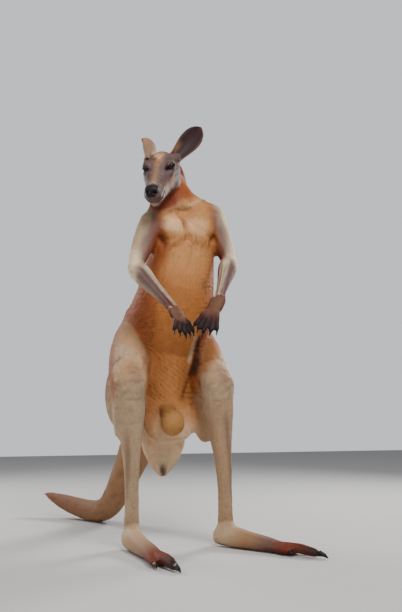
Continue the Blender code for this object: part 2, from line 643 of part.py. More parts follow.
def make_ear(side, sign, collection):
    """A leaf-shaped cup: rows across the ear, rolled into a tube at the root and opening towards the tip."""
    reach, across, hollow, root = ear_axes(side, sign)
    shape = [(0.0, 0.40, 250.0), (0.2, 0.62, 210.0), (0.45, 0.95, 150.0), (0.65, 1.04, 115.0), (0.85, 0.84, 90.0),
             (0.95, 0.56, 70.0), (1.0, 0.22, 60.0)]
    rows, columns = 8, 5
    bm = bmesh.new()
    grid = []
    for i in range(rows + 1):
        t = i / rows
        width, roll = blend(shape, t)
        arc = math.radians(roll)
        radius = width * EAR_WIDTH / 2 / max(math.sin(min(arc, math.pi) / 2), 0.2)
        row = []
        for k in range(columns + 1):
            angle = arc * (k / columns - 0.5)
            place = root + reach * EAR_LENGTH * (t - 0.06) - hollow * 0.012 * math.sin(math.pi * t)
            place += across * radius * math.sin(angle) + hollow * radius * (math.cos(arc / 2) - math.cos(angle)) * 0.8
            row.append(bm.verts.new(place))
        grid.append(row)
    for low, high in zip(grid, grid[1:]):
        for k in range(columns):
            bm.faces.new((low[k], low[k + 1], high[k + 1], high[k]))
    ear = new_object("ear_" + side, bm, collection)
    modifier(ear, "SOLIDIFY", thickness=0.0035, offset=0.0, use_even_offset=False)
    apply_all(ear)
    return ear


def make_claw(name, base, way, down, length, thick, collection):
    """A curved claw from its base: a tapering tube that hooks downwards."""
    bm = bmesh.new()
    line = [base, base + way * length * 0.5, base + way * length * 0.92 + down * length * 0.22]
    add_tube(bm, line, [(0.0, thick * 0.8, thick, thick), (0.4, thick * 0.66, thick * 0.85, thick * 0.8),
                        (0.8, thick * 0.36, thick * 0.45, thick * 0.45), (1.0, thick * 0.10, thick * 0.12, thick * 0.12)],
             -down, steps=3, around=5)
    return new_object(name, bm, collection)


def make_claws(collection):
    made = []
    for side, sign in SIDES.items():
        for k, (_, knuckle, tip, way, back) in enumerate(fingers(side, sign)):
            base = tip - way * 0.0034
            made.append(make_claw(f"hand_claw_{side}_{k + 1}", base, way, -back, 0.020, 0.0048, collection))
        sizes = [(0.046, 0.0120), (0.030, 0.0085), (0.018, 0.0045), (0.018, 0.0045)]
        for k, ((_, knuckle, tip, _), (length, thick)) in enumerate(zip(toes(side, sign), sizes)):
            way = (tip - knuckle).normalized()
            way = (way + UP * 0.10).normalized()
            base = tip - way * thick * 0.9
            made.append(make_claw(f"toe_claw_{side}_{k + 1}", base, way, -UP, length, thick, collection))
    return made


def make_scrotum(collection):
    bm = bmesh.new()
    add_belly(bm, Vector((-0.006, -0.196, 0.468)), (0.050, 0.045, 0.053))
    add_tube(bm, [Vector((-0.004, -0.110, 0.525)), Vector((-0.006, -0.180, 0.480))],
             [(0.0, 0.034, 0.020, 0.020), (1.0, 0.036, 0.028, 0.028)], FORWARD, steps=4, around=16)
    sac = new_object("scrotum", bm, collection)
    modifier(sac, "REMESH", mode="VOXEL", voxel_size=0.006)
    modifier(sac, "SMOOTH", factor=0.5, iterations=4)
    apply_all(sac)
    modifier(sac, "DECIMATE", ratio=190 / (2 * len(sac.data.polygons)))
    apply_all(sac)
    return sac


# ---------------------------------------------------------------- materials


def material(name, colour, roughness):
    made = bpy.data.materials.new(name)
    made.use_nodes = True
    shader = made.node_tree.nodes["Principled BSDF"]
    shader.inputs["Base Color"].default_value = (*colour, 1.0)
    shader.inputs["Roughness"].default_value = roughness
    shader.inputs["Metallic"].default_value = 0.0
    return made


def paint(collection):
    coat = material("rufous_coat", (0.50, 0.24, 0.09), 0.85)
    pale = material("pale_coat", (0.56, 0.47, 0.36), 0.85)
    face = material("grey_face", (0.30, 0.24, 0.20), 0.85)
    dark = material("dark_hand", (0.07, 0.045, 0.04), 0.80)
    horn = material("black_horn", (0.02, 0.018, 0.018), 0.35)
    glassy = material("brown_eye", (0.02, 0.012, 0.008), 0.08)
    kinds = {"trunk": coat, "neck": coat, "scrotum": coat, "head": face, "ear": face, "hand_claw": horn,
             "toe_claw": horn, "hand": dark, "eye": glassy}
    for obj in collection.objects:
        kind = next((k for k in kinds if obj.name.startswith(k)), None)
        obj.data.materials.append(kinds[kind] if kind else pale)
        obj.data.shade_smooth()
        obj.data.set_sharp_from_angle(angle=math.radians(60))


# ---------------------------------------------------------------- the model


def main():
    for obj in list(bpy.data.objects):
        bpy.data.objects.remove(obj)
    collection, cutters = collections()
    body = flesh(collection)
    carve(body, floor_box(cutters))
    for side, sign in SIDES.items():
        carve(body, swollen(make_eye(side, sign, collection), GAP, cutters))
    hide = swollen(body, GAP, cutters)
    for side, sign in SIDES.items():
        carve(make_ear(side, sign, collection), hide)
    carve(make_scrotum(collection), hide)
    for claw in make_claws(collection):
        carve(claw, hide)
        carve(claw, body)
    part_body(body, cutters)
    separate(body, collection)
    for obj in collection.objects:
        obj.data.transform(Matrix.Translation(-FLOOR_CENTRE))
    paint(collection)


main()
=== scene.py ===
"""A life-size red kangaroo, upright on its hind feet and the bend of its tail, its forepaws on its belly.

One skin is drawn over the solid model, and dressed with a short coat of mesh tufts that lies along the body.
The skin carries the markings, among them painted highlights and painted shade, and each tuft takes its colour
from the place where it is rooted.
"""

import math

import bmesh
import bpy
import numpy as np
from bpy.props import FloatProperty, FloatVectorProperty, IntProperty, PointerProperty
from bpy.types import Operator, Panel, PropertyGroup
from mathutils import Matrix, Vector
from mathutils.bvhtree import BVHTree


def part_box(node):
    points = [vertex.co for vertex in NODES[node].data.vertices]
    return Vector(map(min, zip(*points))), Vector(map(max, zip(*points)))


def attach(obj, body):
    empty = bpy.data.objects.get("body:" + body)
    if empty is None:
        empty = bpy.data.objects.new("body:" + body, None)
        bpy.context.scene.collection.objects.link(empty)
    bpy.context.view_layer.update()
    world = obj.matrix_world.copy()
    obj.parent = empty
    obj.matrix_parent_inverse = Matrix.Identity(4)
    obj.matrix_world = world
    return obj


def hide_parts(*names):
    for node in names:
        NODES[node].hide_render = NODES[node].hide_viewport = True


bl_info = {
    "name": "Red Kangaroo",
    "version": (1, 0, 0),
    "blender": (4, 5, 0),
    "location": "View3D > Sidebar > Kangaroo",
    "description": "Dresses the solid model of a standing red kangaroo with skin, coat, eyes and claws",
    "category": "Object",
}

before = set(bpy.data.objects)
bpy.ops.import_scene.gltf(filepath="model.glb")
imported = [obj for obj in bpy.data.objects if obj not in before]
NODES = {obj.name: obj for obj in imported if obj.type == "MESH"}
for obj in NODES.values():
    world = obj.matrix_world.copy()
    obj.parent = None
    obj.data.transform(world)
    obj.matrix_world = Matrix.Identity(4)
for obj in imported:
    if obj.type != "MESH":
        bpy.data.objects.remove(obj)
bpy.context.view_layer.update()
SIDES = {"right": -1.0, "left": 1.0}
HEAD_YAW = math.radians(-34.0)  # the head is turned to its right
HEAD_PITCH = math.radians(46.0)  # and its nose points down
HEAD_ROLL = math.radians(3.0)
EAR_REACH = {"right": (0.17, 0.75, 0.68), "left": (0.60, -0.09, 0.79)}  # the right ear is turned back
EAR_HOLLOW = {"right": (-0.77, 0.50, -0.36), "left": (-0.15, -0.95, 0.0)}
BEHIND_EYES, BELOW_EYES = 0.124, 0.018  # where places in the head are measured from
TUFTS_IN_PIECE = 49000  # at most, before a region's coat is split into more pieces
SWIRL = 0.16  # radians by which tufts turn from the lie of the coat
NOSE_RISE, NOSTRIL_DEPTH = 0.0016, 0.0090
FLOOR_GAP = 0.0012  # from the floor to the skin of the soles and the tail
CAMERA_SHIFT = 0.18  # to the camera's right, towards the middle of the animal

# the joints under the skin, as shares of a node's box: across, along and up
PLACES = {
    "hip_right": ("thigh_right", 0.72, 0.59, 0.74),
    "hip_left": ("thigh_left", 0.31, 0.59, 0.73),
    "knee_right": ("thigh_right", 0.37, 0.13, 0.37),
    "knee_left": ("thigh_left", 0.50, 0.13, 0.36),
    "ankle_right": ("shank_right", 0.79, 0.85, 0.00),
    "ankle_left": ("shank_left", 0.81, 0.66, 0.00),
    "toe_right": ("foot_right", 0.78, 0.04, 0.19),
    "toe_left": ("foot_left", 0.94, 0.02, 0.19),
    "shoulder_right": ("upper_arm_right", 0.95, 0.63, 0.76),
    "shoulder_left": ("upper_arm_left", 0.05, 0.51, 0.82),
    "elbow_right": ("upper_arm_right", 0.27, 0.31, 0.09),
    "elbow_left": ("upper_arm_left", 0.69, 0.27, 0.10),
    "wrist_right": ("forearm_right", 0.84, 0.08, 0.07),
    "wrist_left": ("forearm_left", 0.14, 0.08, 0.07),
    "fingers_right": ("hand_right", 0.66, 0.04, 0.00),
    "fingers_left": ("hand_left", 0.06, 0.08, 0.00),
    "waist": ("trunk", 0.54, 0.35, 0.61),
    "chest": ("trunk", 0.60, 0.29, 0.81),
    "pelvis": ("trunk", 0.46, 0.53, 0.43),
    "neck_base": ("neck", 0.65, 0.54, 0.00),
    "neck_top": ("neck", 0.38, 0.41, 0.66),
    "skull": ("head", 0.71, 0.82, 0.97),
    "tail_root": ("tail_base", 0.58, 0.00, 1.00),
    "tail_upper": ("tail_base", 0.51, 0.38, 0.60),
    "tail_middle": ("tail_middle", 0.54, 0.39, 0.62),
    "tail_lower": ("tail_middle", 0.33, 0.86, 0.18),
    "tail_bend": ("tail_tip", 0.70, 0.32, 0.40),
    "tail_flat": ("tail_tip", 0.40, 0.66, 0.52),
    "tail_end": ("tail_tip", 0.02, 0.99, 0.89),
}


# ---------------------------------------------------------------- places and fields


def box_place(node, across, along, up):
    """The place at these shares of a node's box."""
    low, high = (np.array(corner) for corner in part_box(node))
    return low + (high - low) * np.array((across, along, up))


JOINT = {name: box_place(*share) for name, share in PLACES.items()}


def unit(rows):
    """Rows of vectors, each made one long."""
    rows = np.asarray(rows, float)
    return rows / np.maximum(np.linalg.norm(rows, axis=-1, keepdims=True), 1e-9)


def head_axes():
    """The head's left, snout and crown directions, and the place they are measured from, behind the eyes."""
    turn = Matrix.Rotation(HEAD_YAW, 3, "Z") @ Matrix.Rotation(HEAD_PITCH, 3, "X")
    turn = turn @ Matrix.Rotation(HEAD_ROLL, 3, "Y")
    axes = [np.array(turn @ Vector(way)) for way in ((1, 0, 0), (0, -1, 0), (0, 0, 1))]
    eyes = sum(box_place("eye_" + side, 0.5, 0.5, 0.5) for side in SIDES) / 2
    return axes, eyes - BEHIND_EYES * axes[1] - BELOW_EYES * axes[2]


(LEFTWARD, SNOUTWARD, CROWNWARD), HEAD_ORIGIN = head_axes()


def to_head(points):
    """Places measured in the head: leftward, along the snout and up to the crown."""
    from_origin = points - HEAD_ORIGIN
    return from_origin @ LEFTWARD, from_origin @ SNOUTWARD, from_origin @ CROWNWARD


def from_head(leftward, snoutward, crownward):
    """The place that is measured so in the head."""
    return HEAD_ORIGIN + leftward * LEFTWARD + snoutward * SNOUTWARD + crownward * CROWNWARD


def head_way(leftward, snoutward, crownward):
    """A way measured in the head, made one long."""
    return unit(leftward * LEFTWARD + snoutward * SNOUTWARD + crownward * CROWNWARD)


def fade(value, start, end):
    """0 at start, 1 at end, and smooth between them."""
    share = np.clip((value - start) / (end - start), 0.0, 1.0)
    return share * share * (3.0 - 2.0 * share)


def path_reach(points, path):
    """How far each point is from a path of straight lengths, and its share of the way along it."""
    path = np.asarray(path, float)
    lengths = np.linalg.norm(np.diff(path, axis=0), axis=1)
    starts = np.concatenate([[0.0], np.cumsum(lengths)])
    nearest = np.full(len(points), 1e9)
    share = np.zeros(len(points))
    for first, last, length, start in zip(path, path[1:], lengths, starts):
        way = (last - first) / length
        along = np.clip((points - first) @ way, 0.0, length)
        away = np.linalg.norm(points - first - along[:, None] * way, axis=1)
        closer = away < nearest
        nearest[closer] = away[closer]
        share[closer] = (start + along[closer]) / starts[-1]
    return nearest, share


def near(points, path, radius, soft):
    """1 within a radius of a path or a place, fading to 0 over the soft distance."""
    path = np.atleast_2d(np.asarray(path, float))
    away = path_reach(points, path)[0] if len(path) > 1 else np.linalg.norm(points - path[0], axis=1)
    return 1.0 - fade(away, radius, radius + soft)


def ripple(points, scale, seed):
    """Smooth wandering values from -1 to 1, as a sum of waves in fixed random directions."""
    rng = np.random.default_rng(seed)
    total = np.zeros(len(points))
    for _ in range(7):
        way = unit(rng.normal(size=3))
        total += np.sin(points @ way * (math.tau / scale) * rng.uniform(0.6, 1.6) + rng.uniform(0, math.tau))
    return total / 4.0


# ---------------------------------------------------------------- mesh work


def deselect_all():
    """Leaves edit mode and selects nothing."""
    if bpy.context.object and bpy.context.object.mode != "OBJECT":
        bpy.ops.object.mode_set(mode="OBJECT")
    bpy.ops.object.select_all(action="DESELECT")


def make_active(piece):
    """Selects one piece only, for the tools that work on the active one."""
    deselect_all()
    piece.select_set(True)
    bpy.context.view_layer.objects.active = piece


def modify(piece, kind, **settings):
    """Adds a modifier with its settings and applies it."""
    make_active(piece)
    added = piece.modifiers.new(kind.title(), kind)
    for name, value in settings.items():
        setattr(added, name, value)
    bpy.ops.object.modifier_apply(modifier=added.name)


def new_piece(name, mesh):
    """An object of this name that shows the mesh."""
    piece = bpy.data.objects.new(name, mesh)
    bpy.context.scene.collection.objects.link(piece)
    return piece


def fetch(rows, key, width, kind=np.float32):
    """What is kept under a key for each row, as an array that is this wide."""
    values = np.empty(len(rows) * width, kind)
    rows.foreach_get(key, values)
    return values.reshape(-1, width)


def read_places(mesh):
    """The place of each vertex."""
    return fetch(mesh.vertices, "co", 3).astype(float)


def write_places(mesh, places):
    """Moves the vertices to these places."""
    mesh.vertices.foreach_set("co", places.astype(np.float32).ravel())
    mesh.update()


def read_normals(mesh):
    """The way out of the mesh at each vertex."""
    return fetch(mesh.vertices, "normal", 3).astype(float)


def read_edges(mesh):
    """The two vertices of each edge."""
    return fetch(mesh.edges, "vertices", 2, np.int32)


def spread(values, edges, times):
    """Values at the vertices, each mixed with its neighbours' a number of times."""
    values = np.asarray(values, float)
    flat = values.reshape(len(values), -1)
    count = np.bincount(edges.ravel(), minlength=len(flat)).astype(float)[:, None]
    for _ in range(times):
        total = np.empty_like(flat)
        for column in range(flat.shape[1]):
            total[:, column] = np.bincount(edges[:, 0], flat[edges[:, 1], column], len(flat))
            total[:, column] += np.bincount(edges[:, 1], flat[edges[:, 0], column], len(flat))
        flat = 0.5 * flat + 0.5 * total / np.maximum(count, 1.0)
    return flat.reshape(values.shape)


def set_colours(mesh, name, colours):
    """Keeps a colour for each vertex under this name."""
    attribute = mesh.attributes.get(name) or mesh.attributes.new(name, "FLOAT_COLOR", "POINT")
    four = np.ones((len(colours), 4), np.float32)
    four[:, :3] = colours
    attribute.data.foreach_set("color", four.ravel())


def set_values(mesh, name, values):
    """Keeps a number for each vertex under this name."""
    attribute = mesh.attributes.get(name) or mesh.attributes.new(name, "FLOAT", "POINT")
    attribute.data.foreach_set("value", values.astype(np.float32))


def select_faces(piece, chosen):
    """Enters edit mode with just these faces selected."""
    make_active(piece)
    mesh = piece.data
    mesh.vertices.foreach_set("select", np.zeros(len(mesh.vertices), bool))
    mesh.edges.foreach_set("select", np.zeros(len(mesh.edges), bool))
    mesh.polygons.foreach_set("select", chosen)
    bpy.ops.object.mode_set(mode="EDIT")
    bpy.context.tool_settings.mesh_select_mode = (False, False, True)


def group_vertices(piece, name, weights):
    """Keeps a weight for each vertex in a group of this name."""
    group = piece.vertex_groups.new(name=name)
    steps = np.clip((weights * 20).round().astype(int), 0, 20)
    for step in range(21):
        chosen = np.flatnonzero(steps == step)
        if len(chosen):
            group.add(chosen.tolist(), step / 20, "REPLACE")


def refine(piece, chosen, smoothing):
    """Halves the faces chosen, and smooths the new points a little."""
    select_faces(piece, chosen)
    bpy.ops.mesh.subdivide(number_cuts=1, smoothness=0.0, quadcorner="INNERVERT")
    bpy.ops.mesh.vertices_smooth(factor=0.5, repeat=smoothing)
    bpy.ops.object.mode_set(mode="OBJECT")


def face_outwards(piece):
    """Turns the faces of a piece outwards."""
    make_active(piece)
    bpy.ops.object.mode_set(mode="EDIT")
    bpy.ops.mesh.select_all(action="SELECT")
    bpy.ops.mesh.normals_make_consistent(inside=False)
    bpy.ops.object.mode_set(mode="OBJECT")


def along_skin(ways, normals):
    """Ways laid flat on the skin, each made one long."""
    return unit(ways - normals * np.sum(ways * normals, axis=1, keepdims=True))


def set_lie(mesh, ways):
    """Keeps the way the hair lies at each vertex."""
    for axis, label in enumerate("xyz"):
        set_values(mesh, "lie_" + label, ways[:, axis])


def laid(under, tone, amount):
    """Colours with a tone laid over them, as strongly at each vertex as the amount says."""
    return under + np.clip(amount, 0, 1)[:, None] * (tone - under)


def loft(name, rings):
    """A skin over rings of places: a circle, then one extrusion for each further ring."""
    deselect_all()
    bpy.ops.mesh.primitive_circle_add(vertices=len(rings[0]), radius=1.0)
    piece = bpy.context.object
    piece.name = piece.data.name = name
    write_places(piece.data, rings[0])
    bpy.ops.object.mode_set(mode="EDIT")
    bpy.context.tool_settings.mesh_select_mode = (True, False, False)
    bpy.ops.mesh.select_all(action="SELECT")
    for before, ring in zip(rings, rings[1:]):
        bpy.ops.mesh.extrude_edges_move()
        edit = bmesh.from_edit_mesh(piece.data)
        for vertex in (v for v in edit.verts if v.select):
            nearest = np.argmin(np.linalg.norm(before - np.array(vertex.co), axis=1))
            vertex.co = Vector(ring[nearest])
        bmesh.update_edit_mesh(piece.data)
    bpy.ops.object.mode_set(mode="OBJECT")
    face_outwards(piece)
    return piece


# ---------------------------------------------------------------- sizes and colours


def tint(red, green, blue):
    """A colour from everyday 0 to 255 values, made linear."""
    return tuple(((v / 255 + 0.055) / 1.055) ** 2.4 if v > 10 else v / 3295 for v in (red, green, blue))


def colour_of(name, description, default):
    """A colour for the user to set."""
    return FloatVectorProperty(name=name, description=description, subtype="COLOR", size=3, min=0, max=1,
                               default=tint(*default))


def length_of(name, description, default):
    """A length for the user to set."""
    return FloatProperty(name=name, description=description, default=default, unit="LENGTH")


def angle_of(name, description, degrees):
    """An angle for the user to set."""
    return FloatProperty(name=name, description=description, default=math.radians(degrees), unit="ROTATION")


class KangarooSizes(PropertyGroup):
    grain: length_of("Skin grain", "Size of the skin's facets", 0.0034)
    triangles: IntProperty(name="Skin triangles", description="About how many the skin is thinned to",
                           default=150000)
    coat_depth: length_of("Coat depth", "How far the skin lies under the coat's tips", 0.0036)
    face_depth: length_of("Face coat depth", "Depth of the coat on the face, hands and feet", 0.0012)
    tuft: length_of("Tuft length", "Length of a tuft on the body", 0.0115)
    face_tuft: length_of("Face tuft length", "Length of a tuft on the muzzle", 0.0042)
    spacing: length_of("Tuft spacing", "Space from one tuft on the body to the next", 0.0033)
    ear_length: length_of("Ear length", "Root to tip", 0.176)
    ear_width: length_of("Ear width", "Across the widest part", 0.082)
    seed: IntProperty(name="Seed", description="Start of the random scatter of tufts", default=5)


# several of these colours, darkened or lightened, are also laid as painted shade and painted highlights; the
# painting functions say where
class KangarooColours(PropertyGroup):
    pale: colour_of("Pale coat", "Cream coat of the legs and tail", (198, 168, 134))
    ochre: colour_of("Ochre belly", "Coat of the belly", (182, 112, 54))
    rust: colour_of("Rust flanks", "Coat of the flanks, the back and the neck", (158, 80, 36))
    buff: colour_of("Buff chest", "Coat of the chest", (198, 140, 84))
    # also laid as painted highlights on the breast muscles, the collar bones, the forearms' crests, the left
    # upper arm and the left side of the neck
    cream: colour_of("Cream", "Palest hair of the breast, cheek and lips", (238, 214, 176))
    grey: colour_of("Grey face", "Coat of the face", (102, 80, 76))
    mauve: colour_of("Mauve grey", "Thin grey hair of the forearms and cheeks", (112, 84, 78))
    tan: colour_of("Tan brow", "Coat of the forehead and the bridge of the nose", (178, 132, 92))
    throat: colour_of("Dark throat", "Shaded rust under the jaw", (122, 54, 32))
    rose: colour_of("Breast furrow", "Skin of the furrow over the breast bone", (176, 92, 70))
    sac: colour_of("Sac", "Thin hair of the scrotum", (184, 130, 72))
    # laid as painted shade along the crease where the belly meets the left thigh
    stripe: colour_of("Belly stripe", "Dark line at the end of the belly", (84, 46, 34))
    brown: colour_of("Brown hands", "Dark hair of the hands and toes", (104, 48, 38))
    black: colour_of("Black tips", "Fingers, toes and nose", (24, 18, 19))
    ear_red: colour_of("Inner ear", "Thinly haired inside of the ears", (50, 22, 24))
    iris: colour_of("Iris", "Dark brown of the eyes", (46, 26, 16))
    bare: colour_of("Bare skin", "Thinly haired skin below the belly", (228, 190, 150))


class KangarooStage(PropertyGroup):
    camera_height: length_of("Camera height", "Height of the lens over the floor", 0.46)
    camera_distance: length_of("Camera distance", "From the lens to the animal's middle", 2.7145)
    camera_turn: angle_of("Camera turn", "Angle of the camera round the animal", 20.0)
    camera_tilt: angle_of("Camera tilt", "Angle the camera looks up at", 11.22)
    lens: FloatProperty(name="Lens", description="Focal length in millimetres", default=35.29)
    floor: length_of("Floor size", "Width of the plain floor", 14.0)


def sizes():
    """The user's sizes."""
    return bpy.context.scene.kangaroo_sizes


def colour(name):
    """The user's colour of this name."""
    return np.array(getattr(bpy.context.scene.kangaroo_colours, name))


# ---------------------------------------------------------------- materials


def new_material(name, roughness, **constants):
    """A material with its Principled shader, whose constants are set on the shader's own sockets."""
    made = bpy.data.materials.new(name)
    made.use_nodes = True
    shader = made.node_tree.nodes["Principled BSDF"]
    shader.inputs["Roughness"].default_value = roughness
    for socket, value in constants.items():
        shader.inputs[socket.replace("_", " ")].default_value = value
    return made, made.node_tree.nodes, made.node_tree.links, shader


def wire(links, *pairs):
    """Links sockets, each pair an outlet and the inlet that it feeds."""
    for outlet, inlet in pairs:
        links.new(outlet, inlet)


def add_node(nodes, kind, **settings):
    """A node with its sockets or its own settings set."""
    added = nodes.new(kind)
    for name, value in settings.items():
        if name in added.inputs:
            added.inputs[name].default_value = value
        else:
            setattr(added, name, value)
    return added


def hair_grain_group():
    """Mottling, fine streaks and height for haired skin: one group for the skin and the coat."""
    name = "Hair grain"
    if name in bpy.data.node_groups:
        return bpy.data.node_groups[name]
    group = bpy.data.node_groups.new(name, "ShaderNodeTree")
    for in_out, label, kind in (("INPUT", "Colour", "Color"), ("INPUT", "Mottle", "Float"),
                                ("INPUT", "Scale", "Float"), ("OUTPUT", "Colour", "Color"),
                                ("OUTPUT", "Height", "Float")):
        group.interface.new_socket(name=label, in_out=in_out, socket_type="NodeSocket" + kind)
    nodes = group.nodes
    given = nodes.new("NodeGroupInput").outputs
    result = nodes.new("NodeGroupOutput").inputs
    place = nodes.new("ShaderNodeTexCoord").outputs["Object"]
    broad = add_node(nodes, "ShaderNodeTexNoise", Scale=26.0, Detail=3.0)
    fine = add_node(nodes, "ShaderNodeTexNoise", Detail=4.0, Roughness=0.65)
    mixed = add_node(nodes, "ShaderNodeMath", operation="ADD")
    centred = add_node(nodes, "ShaderNodeMath", operation="SUBTRACT")
    centred.inputs[1].default_value = 1.0
    strength = add_node(nodes, "ShaderNodeMath", operation="MULTIPLY_ADD")
    strength.inputs[2].default_value = 1.0
    shade = add_node(nodes, "ShaderNodeVectorMath", operation="SCALE")
    wire(
        group.links,
        (place, broad.inputs["Vector"]),
        (place, fine.inputs["Vector"]),
        (given["Scale"], fine.inputs["Scale"]),
        (broad.outputs["Fac"], mixed.inputs[0]),
        (fine.outputs["Fac"], mixed.inputs[1]),
        (mixed.outputs[0], centred.inputs[0]),
        (centred.outputs[0], strength.inputs[0]),
        (given["Mottle"], strength.inputs[1]),
        (given["Colour"], shade.inputs[0]),
        (strength.outputs[0], shade.inputs["Scale"]),
        (shade.outputs[0], result["Colour"]),
        (fine.outputs["Fac"], result["Height"]),
    )
    return group


def mottled_material(name, roughness, mottle, scale, bump, **constants):
    """The markings kept on the mesh, broken up by the grain group, and raised by it where a bump is given."""
    made, nodes, links, shader = new_material(name, roughness, **constants)
    kept = add_node(nodes, "ShaderNodeAttribute", attribute_name="markings")
    grain = nodes.new("ShaderNodeGroup")
    grain.node_tree = hair_grain_group()
    grain.inputs["Mottle"].default_value = mottle
    grain.inputs["Scale"].default_value = scale
    wire(links, (kept.outputs["Color"], grain.inputs["Colour"]),
         (grain.outputs["Colour"], shader.inputs["Base Color"]))
    if bump:
        raised = add_node(nodes, "ShaderNodeBump", Strength=bump, Distance=0.002)
        wire(links, (grain.outputs["Height"], raised.inputs["Height"]),
             (raised.outputs["Normal"], shader.inputs["Normal"]))
    return made


# the line of the mouth on either side, in the head: outward, along the snout and up
MOUTH = ((0.0, 0.282, -0.060), (0.020, 0.273, -0.065), (0.033, 0.259, -0.056), (0.038, 0.240, -0.042),
         (0.037, 0.220, -0.032))

# ---------------------------------------------------------------- skin

OWN_PIECES = ("eye_", "ear_", "hand_claw_", "toe_claw_")


def flesh_names():
    """The nodes that the one skin stands for."""
    return sorted(name for name in NODES if not name.startswith(OWN_PIECES))


def tube_rings(path, radii, wide=1.0, across=(1, 0, 0), around=12):
    """Rings along a path, each with its radius, stretched across by a share."""
    path = np.asarray(path, float)
    turns = np.linspace(0, math.tau, around, endpoint=False)
    rings = []
    for k, (place, radius) in enumerate(zip(path, radii)):
        way = unit(path[min(k + 1, len(path) - 1)] - path[max(k - 1, 0)])
        side = unit(np.array(across) - way * (way @ np.array(across)))
        over = np.cross(way, side)
        rings.append(place + radius * (side * wide * np.cos(turns)[:, None] + over * np.sin(turns)[:, None]))
    return rings


def hand_frame(side):
    """The wrist, the way across the hand, the way out of its back, and the root of each claw with its way."""
    wrist = JOINT["wrist_" + side]
    claws = []
    for k in range(5):
        places = read_places(NODES[f"hand_claw_{side}_{k + 1}"].data)
        away = np.linalg.norm(places - wrist, axis=1)
        root = places[away <= np.quantile(away, 0.3)].mean(axis=0)
        claws.append((root, unit(places[away >= np.quantile(away, 0.8)].mean(axis=0) - root)))
    across = unit(claws[4][0] - claws[0][0])
    back = np.cross(across, unit(claws[2][0] - wrist))
    return wrist, across, back * np.sign(back @ np.array((0.0, -1.0, 0.4))), claws


def make_hand(side):
    """The palm and five separate fingers, with swollen knuckles, each ending round its claw's root."""
    wrist, across, back, claws = hand_frame(side)
    middle = claws[2][0]
    breadth = np.linalg.norm(claws[4][0] - claws[0][0])
    shares = (-0.16, -0.12, 0.05, 0.25, 0.42, 0.52, 0.56)
    palm = [wrist + (middle - wrist) * share for share in shares]
    radii = np.array((0.001, 0.013, 0.0165, 0.0165, 0.0135, 0.0090, 0.001))
    pieces = [loft("palm", tube_rings(palm, radii, max(breadth / 2 / 0.0235, 1.25), across, 20))]
    for k, (root, way) in enumerate(claws):
        reach = root - wrist
        knuckle = wrist + reach * 0.66 + back * 0.0085
        path = [wrist + reach * 0.24, wrist + reach * 0.30, wrist + reach * 0.48 + back * 0.004, knuckle,
                wrist + reach * 0.80 + back * 0.0045, root - way * 0.005, root + way * 0.003,
                root + way * 0.006]
        radii = (0.001, 0.0075, 0.0092, 0.0100, 0.0085, 0.0088, 0.0066, 0.001)
        pieces.append(loft(f"finger_{k + 1}", tube_rings(path, radii, 1.0, across, 12)))
    return pieces


def joined_flesh():
    """One mesh of the solids of flesh, the eyeballs and the fingers, for one skin to close over."""
    joined = bmesh.new()
    for name in flesh_names() + ["eye_left", "eye_right"]:
        if not name.startswith("hand_"):
            joined.from_mesh(NODES[name].data)
    mesh = bpy.data.meshes.new("skin")
    joined.to_mesh(mesh)
    joined.free()
    skin = new_piece("skin", mesh)
    digits = make_hand("left") + make_hand("right")
    make_active(skin)
    for piece in digits:
        piece.select_set(True)
    bpy.ops.object.join()
    bpy.ops.object.mode_set(mode="EDIT")
    bpy.ops.mesh.select_all(action="SELECT")
    bpy.ops.mesh.remove_doubles(threshold=0.00001)
    bpy.ops.object.mode_set(mode="OBJECT")
    modify(skin, "DISPLACE", strength=0.0006, mid_level=0.0)
    return skin


def owners(points):
    """The CAD node whose surface is nearest to each point."""
    names = flesh_names()
    corners, faces, owner = [], [], []
    for index, name in enumerate(names):
        mesh = NODES[name].data
        base = len(corners)
        corners += [v.co.copy() for v in mesh.vertices]
        faces += [[base + i for i in face.vertices] for face in mesh.polygons]
        owner += [index] * len(mesh.polygons)
    tree = BVHTree.FromPolygons(corners, faces)
    found = np.array([owner[tree.find_nearest(point)[2]] for point in points.tolist()])
    return names, found


def limb_lines():
    """The lines that the coat lies along, from root to tip."""
    lines = {
        "spine": ["skull", "neck_top", "neck_base", "chest", "waist", "pelvis"],
        "tail": ["tail_" + part for part in ("root", "upper", "middle", "lower", "bend", "flat", "end")],
    }
    for side in SIDES:
        lines["arm_" + side] = [part + side for part in ("shoulder_", "elbow_", "wrist_", "fingers_")]
        lines["leg_" + side] = [part + side for part in ("hip_", "knee_", "ankle_", "toe_")]
    return {name: [JOINT[place] for place in places] for name, places in lines.items()}


LINES = limb_lines()


BODY_PARTS = ("head", "neck", "trunk", "upper_arm", "forearm", "hand", "thigh", "shank", "foot", "tail",
              "scrotum")


def skin_masks(edges, names, found):
    """How much each vertex belongs to a part of the body, soft at the borders."""
    owned = [np.array([name.startswith(part) for name in names])[found] for part in BODY_PARTS]
    stacked = spread(np.stack(owned, axis=1), edges, 5)
    return {part: stacked[:, i] for i, part in enumerate(BODY_PARTS)}


def joints_of(side, *parts):
    """The joints of one side's limb."""
    return [JOINT[f"{part}_{side}"] for part in parts]


def beside(place, *offsets):
    """Places measured from another place."""
    return [place + np.array(offset) for offset in offsets]


